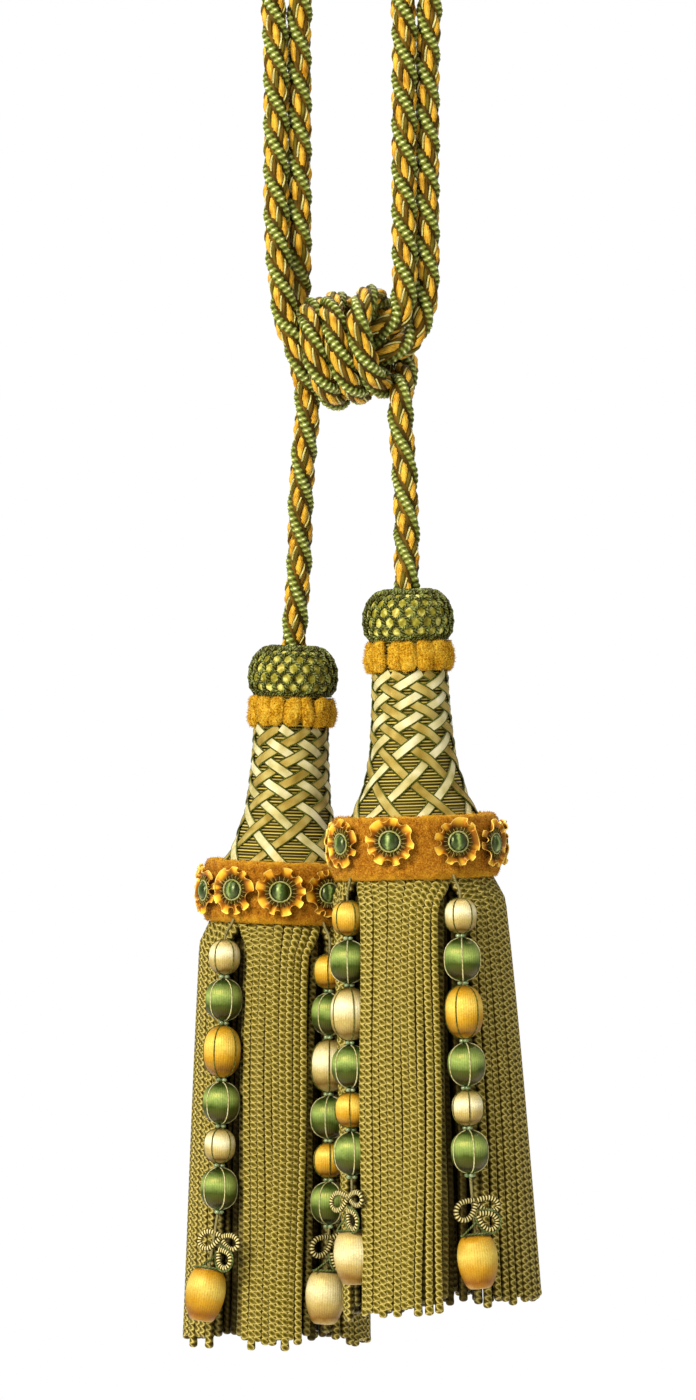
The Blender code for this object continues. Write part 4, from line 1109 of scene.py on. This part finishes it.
# Bullion: viscose cord of two plies laid to the left, olive, with a painted highlight on the ridges
# of its plies and painted shade between them. Its lay is drawn coarser than it is, so that it
# shows.
BULLION = bullion("viscose_bullion_olive", {0.18: "#272302", 0.36: "#564B0B", 0.52: "#706420",
                                            0.62: "#C2B36C", 0.70: "#66591D", 0.80: "#302403"})
# The same cord as copies with painted shade, for where the light hardly reaches it: the row behind,
# and deeper painted shade for the skirt's inside.
BULLION_PAINTED_SHADE = bullion("viscose_bullion_olive_painted_shade",
                         {0.18: "#1C1802", 0.40: "#3E360C", 0.62: "#7E7440", 0.80: "#1E1804"})
BULLION_PAINTED_DEEP_SHADE = bullion("viscose_bullion_olive_painted_deep_shade",
                       {0.3: "#110E02", 0.62: "#332C0E", 0.8: "#0B0802"})
for side, seed in (("right", 7), ("left", 11)):
    fit(skirt(side, seed), Matrix.Identity(4), "skirt", side + "_skirt")

# ---------------------------------------------------------------- strings of beads
# Wooden beads wound from end to end with satin floss, threaded on cord with glass seeds between
# them. Five fine cords lie on each bead from end to end: dark green on yellow and cream, pale
# on green.
BEADS = {"small": (6.5, 13.8), "green": (7.5, 16.6), "large": (7.65, 20.8)}
BEAD_GAP = 1.9
BEAD_SIDES = 28
THREAD_RADIUS = 0.6
# from the top down; a string's large bead has its own colour, and its small ones the other
STRINGS = {kind: (("small", other), ("green", "green"), ("large", kind), ("green", "green"),
                  ("small", other), ("green", "green"))
           for kind, other in (("yellow", "cream"), ("cream", "yellow"))}
# each floss's colours: its painted shade at the ends, its middle, and its painted highlight
FLOSS_COLOURS = {"yellow": ("#5E3604", "#B4861C", "#DCBC54"),
                 "cream": ("#5C4212", "#AC995C", "#E4DEB8"),
                 "green": ("#060A02", "#2B4010", "#8CA254")}
MERIDIANS = 5


def floss(name, ends, middle, light, height):
    """Satin floss wound lengthways: a painted highlight in a band a little above its middle,
    painted shade towards both ends, deepest low down, and paler again at its lower rim.
    """
    mat = new_material(name, 0.36, specular=0.6)
    satin_across(mat, 0.8)
    around, down = lying(mat)
    place = node(mat, "TexCoord", output="Object")
    drift = node(mat, "TexNoise", {"Vector": place, "Scale": 130.0, "Detail": 3.0})
    share = node(mat, "Math", [down, 1.0 / height], operation="MULTIPLY")
    share = node(mat, "Math", [drift, 0.22, share], operation="MULTIPLY_ADD")
    share = node(mat, "Math", [share, 0.11], operation="SUBTRACT")
    colour = node(mat, "ValToRGB", [share], {0.02: ends, 0.18: middle, 0.40: light,
                                             0.58: middle, 0.79: ends, 0.95: middle})
    threads = bands(mat, around, down, 46.0, 0.0)
    grain = node(mat, "TexNoise", {"Vector": place, "Scale": 1700.0, "Detail": 0.0})
    grain = node(mat, "Math", [grain, 0.5, 0.58], operation="MULTIPLY_ADD")
    soft = node(mat, "Math", [threads, 0.2, grain], operation="MULTIPLY_ADD")
    colour = node(mat, "Mix", {0: 1.0, 6: colour, 7: soft}, output=2, data_type="RGBA",
                  blend_type="MULTIPLY")
    return paint(mat, colour, threads, 0.06)


def bead_shape(radius, height):
    """Outline of a bead from its upper hole to its lower one."""
    outline = []
    for at in np.linspace(-1.0, 1.0, 17):
        level = sin(at * pi / 2)
        reach = radius * (1.0 - 0.985 * abs(level) ** 2.7) ** 0.5
        outline.append((max(0.18 * radius, reach), -level * height / 2 - height / 2))
    return outline


def bead(size, colour):
    """One bead with its cords, in mm, its top at the origin."""
    radius, height = BEADS[size]
    wound = floss(f"viscose_floss_{colour}_{size}", *FLOSS_COLOURS[colour],
                  travelled(np.array(bead_shape(radius, height)))[-1])
    outline = bead_shape(radius - 0.25, height)
    cords = Strands()
    for i in range(MERIDIANS):
        out = np.array(heading(360 / MERIDIANS * i))
        line = out * (np.array(outline)[:, :1] + 0.10)
        line[:, 2] = np.array(outline)[:, 1]
        cords.add(line, 0.27, ring_section(5), out + (0.0, 1e-4, 0.0))
    meridian = PALE_MERIDIAN if colour == "green" else GREEN_MERIDIAN
    return joined("bead", [turned("bead", outline, BEAD_SIDES, wound),
                           cords.piece("cords", [meridian])])


def copy_of(piece, place):
    """A copy with its own mesh, moved to a place."""
    twin = piece.copy()
    twin.data = piece.data.copy()
    bpy.context.scene.collection.objects.link(twin)
    twin.data.transform(place)
    return twin


def hung(place, slope):
    """Frame at a place, its -Z along the downward line with this sideways slope."""
    down = Vector((slope.x, slope.y, -1.0))
    turn = Vector((0.0, 0.0, -1.0)).rotation_difference(down)
    return Matrix.Translation(place) @ turn.to_matrix().to_4x4()


# Viscose floss, wound: strong soft gloss, with a painted highlight across its middle and painted
# shade, golden brown, where it dips into the holes. Over it lie fine cords, dotted by their twist.
GREEN_MERIDIAN = spun_yarn("fine_cord_dark_green",
                           {0.3: "#172208", 0.6: "#323D13", 1.0: "#6A682C"}, 0.6, 1, 0.55, 0.05)
PALE_MERIDIAN = spun_yarn("fine_cord_pale_gold",
                          {0.3: "#6C6832", 0.6: "#A59F67", 1.0: "#BBB893"}, 0.5, 1, 0.55, 0.05)
MODEL_BEADS = {kind: bead(*kind) for kind in (("small", "cream"), ("small", "yellow"),
                                              ("green", "green"), ("large", "yellow"),
                                              ("large", "cream"))}
# Cotton thread, olive-grey; glass seeds, pale aqua and glossy.
THREAD = spun_yarn("cotton_thread_olive", {0.3: "#454024", 0.7: "#7A734B"}, 0.7, 2, 0.8, 0.05)
SEED = mat = new_material("glass_seed_aqua", 0.15, specular=0.7, gloss="#FFFFFF")
tone = node(mat, "TexNoise", {"Vector": node(mat, "TexCoord", output="Object"),
                              "Scale": 300.0, "Detail": 2.0})
paint(mat, node(mat, "ValToRGB", [tone], {0.35: "#53683B", 0.65: "#8B9970"}))
bpy.ops.mesh.primitive_uv_sphere_add(segments=10, ring_count=8, radius=1.15)
MODEL_SEED = bpy.context.object
MODEL_SEED.scale = (1.0, 1.0, 0.8)
bpy.ops.object.transform_apply(location=True, rotation=True, scale=True)
bpy.ops.object.shade_smooth()
MODEL_SEED.data.materials.append(SEED)


def string_of_beads(side, number, row):
    """The beads, their seeds and the thread, and the frame of the string's lower end."""
    rng = np.random.default_rng(100 + number + (10 if side == "left" else 0))
    out = heading(row.azimuth)
    first = out * row.radius + Vector((0.0, 0.0, COLLAR_BOTTOM[side] - row.first))
    slope = hanger_slope(side, row)
    place = hung(head_frame(side) @ first, slope)
    pieces = []
    height = 0.0
    for size, colour in STRINGS[row.kind]:
        spin = Matrix.Rotation(radians(row.azimuth - 13 + rng.uniform(-34, 34)), 4, "Z")
        pieces.append(copy_of(MODEL_BEADS[size, colour],
                              Matrix.Translation((0.0, 0.0, height)) @ spin))
        height -= BEADS[size][1]
        for turn in (0.0, 120.0, 240.0):
            seed_place = heading(row.azimuth + turn + rng.uniform(-25, 25)) * 1.25
            seed_place.z = height - BEAD_GAP / 2
            pieces.append(copy_of(MODEL_SEED, Matrix.Translation(seed_place)))
        height -= BEAD_GAP
    # the thread comes from under the collar's edge
    tuck = out * (32.6 - row.radius)
    line = [tuck * share + Vector((0.0, 0.0, row.first + rise)) for share, rise in
            ((1.0, 1.2), (0.75, -1.0), (0.25, -3.4), (0.0, -5.8))]
    line += [Vector((0.0, 0.0, z)) for z in (0.0, height / 2, height + BEAD_GAP)]
    thread = Strands()
    thread.add(line, THREAD_RADIUS, ring_section(7), out)
    string = joined(f"{side}_beads_{number}", pieces + [thread.piece("thread", [THREAD])])
    fit(string, place, "beads", f"{side}_hanger_{number}_beads")
    return place @ Vector((0.0, 0.0, height + BEAD_GAP - 0.6)), slope


# ---------------------------------------------------------------- drops and bows
# At each string's end hangs a barrel-shaped drop wound with floss, and over it a bow of flat
# gimp in three loops, sewn to the thread, with a green cord along its edge and round the drop.
DROP_OUTLINE = [(2.2, -0.2), (4.2, -0.5), (6.5, -2.8), (7.7, -6.8), (7.95, -10.6),
                (7.3, -15.2), (5.8, -19.4), (4.5, -21.4), (3.2, -21.9), (1.0, -20.9)]
DROP_SIDES = 32
DROP_CORD = 5.6  # how far out the cord round its top lies
BOW_ABOVE = 10.6
BOW_FORWARD = 1.65  # of the loops' backs before the thread's middle
# a loop's start, direction, length and width, and how far it lies forward
BOW_LOOPS = [(0.0, 1.8, 205.0, 10.2, 6.8, 0.4), (0.2, 1.6, 352.0, 9.8, 5.2, 0.0),
             (0.6, -3.4, -40.0, 8.8, 6.2, 0.9)]
BOW_ASIDE = {("left", 4): 4.0}
# a loop's line, in shares of its length and width
BOW_LINE = [(0.0, -0.06), (0.3, -0.36), (0.6, -0.5), (0.88, -0.36), (1.0, 0.0), (0.88, 0.36),
            (0.6, 0.5), (0.3, 0.36), (0.0, 0.06)]
BOW_TAIL = [(0.8, -5.0, 0.9), (-1.8, -7.2, 1.3), (-4.8, -9.4, 1.4), (-7.4, -11.6, 0.8)]
EDGING_RADIUS = 0.42
GIMP_SECTION = np.array([(-0.4, -1.1), (-0.4, 1.1), (0.1, 1.1), (0.55, 0.5), (0.55, -0.5),
                         (0.1, -1.1)])
GIMP_PITCH = 1.2  # of its ribs, 0.8 to 0.9 mm on the real one, drawn coarser to show


def bow(side, number, azimuth, place, down):
    """Three loops of gimp with their edging, in front of the drop's thread."""
    loops = Strands()
    rng = np.random.default_rng(number + (40 if side == "left" else 30))
    for x0, y0, direction, reach, breadth, forward in BOW_LOOPS:
        turn = Matrix.Rotation(radians(direction + rng.uniform(-9, 9)), 3, "Z")
        line = smooth_route([turn @ Vector((x * reach, y * breadth, 0.0)) for x, y in BOW_LINE])[0]
        rise = np.linspace(0.0, 1.0, len(line))
        line += (x0, y0, 0.0)
        line[:, 2] = forward + 0.8 * np.sin(pi * rise) + 0.5 * rise
        loops.add(line, 1.0, GIMP_SECTION, UP)
        if y0 < 0.0:
            across = unit(np.cross(unit(np.gradient(line, axis=0)), UP))
            loops.add(line + across * 1.4 + (0.0, 0.0, 0.15), EDGING_RADIUS, ring_section(5), UP, 1)
    loops.add(smooth_route(BOW_TAIL, 0.6)[0], EDGING_RADIUS, ring_section(5), UP, 1)
    middle = heading(azimuth) * BOW_FORWARD - Vector((0.0, 0.0, down))
    middle.x += BOW_ASIDE.get((side, number), 0.0)
    facing = Matrix.Rotation(radians(azimuth), 4, "Z") @ Matrix.Rotation(radians(90), 4, "X")
    fit(loops.piece(f"{side}_bow_{number}", [GIMP, GREEN_EDGING]),
        place @ Matrix.Translation(middle) @ facing, "bow", f"{side}_hanger_{number}_bow")


def drop(side, number, row, end, slope):
    """The drop with its thread, and the cord that lies round its top."""
    out = heading(row.azimuth)
    slope = slope + out * row.drop_out + Vector((tan(radians(row.drop_lean)), 0.0, 0.0))
    place = hung(end, slope)
    outline = smooth_route(DROP_OUTLINE, 1.0)[0] - (0.0, row.thread)
    cords = Strands()
    cords.add([(0.0, 0.0, z) for z in (0.0, -1.0, -row.thread / 2, -row.thread)], THREAD_RADIUS,
              ring_section(7), out)
    cords.add(hoop(DROP_CORD, -row.thread - 0.9, 0.5), 0.5, ring_section(6), UP, 1)
    piece = joined(f"{side}_drop_{number}",
                   [turned("drop", outline.tolist(), DROP_SIDES, DROP_FLOSS[row.kind]),
                    cords.piece("cords", [THREAD, GREEN_EDGING])])
    fit(piece, place, "drop", f"{side}_hanger_{number}_drop")
    bow(side, number, row.azimuth, place, row.thread - BOW_ABOVE)


# Viscose floss again, with the same painted highlight and painted shade, a little darker at the
# ends.
drop_travel = travelled(np.array(DROP_OUTLINE))[-1]
DROP_FLOSS = {"yellow": floss("viscose_floss_drop_yellow", "#744004", "#AE801A", "#CCB456",
                              drop_travel),
              "cream": floss("viscose_floss_drop_cream", "#6A4612", "#AB9558", "#D8CFA0",
                             drop_travel)}
# Flat gimp braid: tan ribs across it, dull, with a painted highlight, cream, on their crests, and
# painted shade in the grooves between them and on the braid's sides and back.
GIMP = mat = new_material("flat_gimp_tan", 0.65, specular=0.3)
around, along = lying(mat)
rib = bands(mat, around, along, 0.0, 1.0 / GIMP_PITCH)
from_crest = node(mat, "Math", [around, 7 / 12], operation="SUBTRACT")
from_crest = node(mat, "Math", [from_crest], operation="ABSOLUTE")
shade = node(mat, "MapRange", [from_crest, 0.12, 0.24, 1.0, 0.25])
colour = node(mat, "ValToRGB", [rib], {0.12: "#1A1402", 0.40: "#52461A", 0.62: "#A8995A",
                                       0.9: "#DCD29C"})
colour = node(mat, "Mix", {0: 1.0, 6: colour, 7: shade}, output=2, data_type="RGBA",
              blend_type="MULTIPLY")
paint(mat, colour, rib, 0.2)
# Fine two-ply cord, green and dull.
GREEN_EDGING = spun_yarn("edging_cord_green",
                         {0.25: "#141E07", 0.6: "#2D3E19", 1.0: "#6D7D4E"}, 0.6, 2, 0.8, 0.08)
for side, rows in HANGERS.items():
    for number, row in enumerate(rows, 1):
        drop(side, number, row, *string_of_beads(side, number, row))
for model in [*MODEL_BEADS.values(), MODEL_SEED]:
    bpy.data.objects.remove(model)

# ---------------------------------------------------------------- floor, room and lights
# The tieback was photographed hanging against white: here in a white room, a metre above a
# plain pale floor, with large soft lights.
FLOOR_LEVEL = -1000.0

bpy.ops.mesh.primitive_plane_add(size=4.4, location=(0.0, 0.0, FLOOR_LEVEL * MM))
floor = bpy.context.object
floor.name = "floor"
bpy.ops.object.transform_apply(location=True, rotation=True, scale=True)
bpy.ops.object.mode_set(mode="EDIT")
bpy.ops.mesh.select_all(action="SELECT")
bpy.ops.mesh.bevel(offset=0.7, segments=12, affect="VERTICES")
bpy.ops.object.mode_set(mode="OBJECT")
# Matt paper: an even white without gloss.
PAPER = mat = new_material("matt_paper_white", 0.95, specular=0.1, gloss="#FFFFFF")
fibre = node(mat, "TexNoise", {"Vector": node(mat, "TexCoord", output="Object"),
                               "Scale": 900.0, "Detail": 2.0})
paint(mat, node(mat, "ValToRGB", [fibre], {0.3: "#F2F2F0", 0.7: "#F6F6F4"}))
floor.data.materials.append(PAPER)

# the room is white to look at, and lights the tieback dimly and a little warm
room = bpy.data.worlds.new("white_room")
room.use_nodes = True
seen = node(room, "LightPath", output="Is Camera Ray")
tone = node(room, "Mix", {0: seen, 6: (0.35, 0.343, 0.326, 1.0), 7: (1.0, 1.0, 1.0, 1.0)},
            output=2, data_type="RGBA")
room.node_tree.links.new(tone, room.node_tree.nodes["Background"].inputs["Color"])
bpy.context.scene.world = room
# a soft box each: place, what it points at, its size in metres, its power in watts
for place, aim, size, power in [((-1500, -2000, 900), (0, 0, -300), 1.0, 120.0),
                                ((1700, -1900, 300), (0, 0, -350), 1.2, 10.0),
                                ((0, 700, 1300), (0, 1500, -100), 1.6, 75.0)]:
    bpy.ops.object.light_add(type="AREA", location=Vector(place) * MM)
    box = bpy.context.object
    box.data.size = size
    box.data.energy = power
    box.data.color = (1.0, 0.95, 0.84)
    box.rotation_euler = (Vector(aim) - Vector(place)).to_track_quat("-Z", "Y").to_euler()
bpy.context.scene.view_settings.view_transform = "Standard"
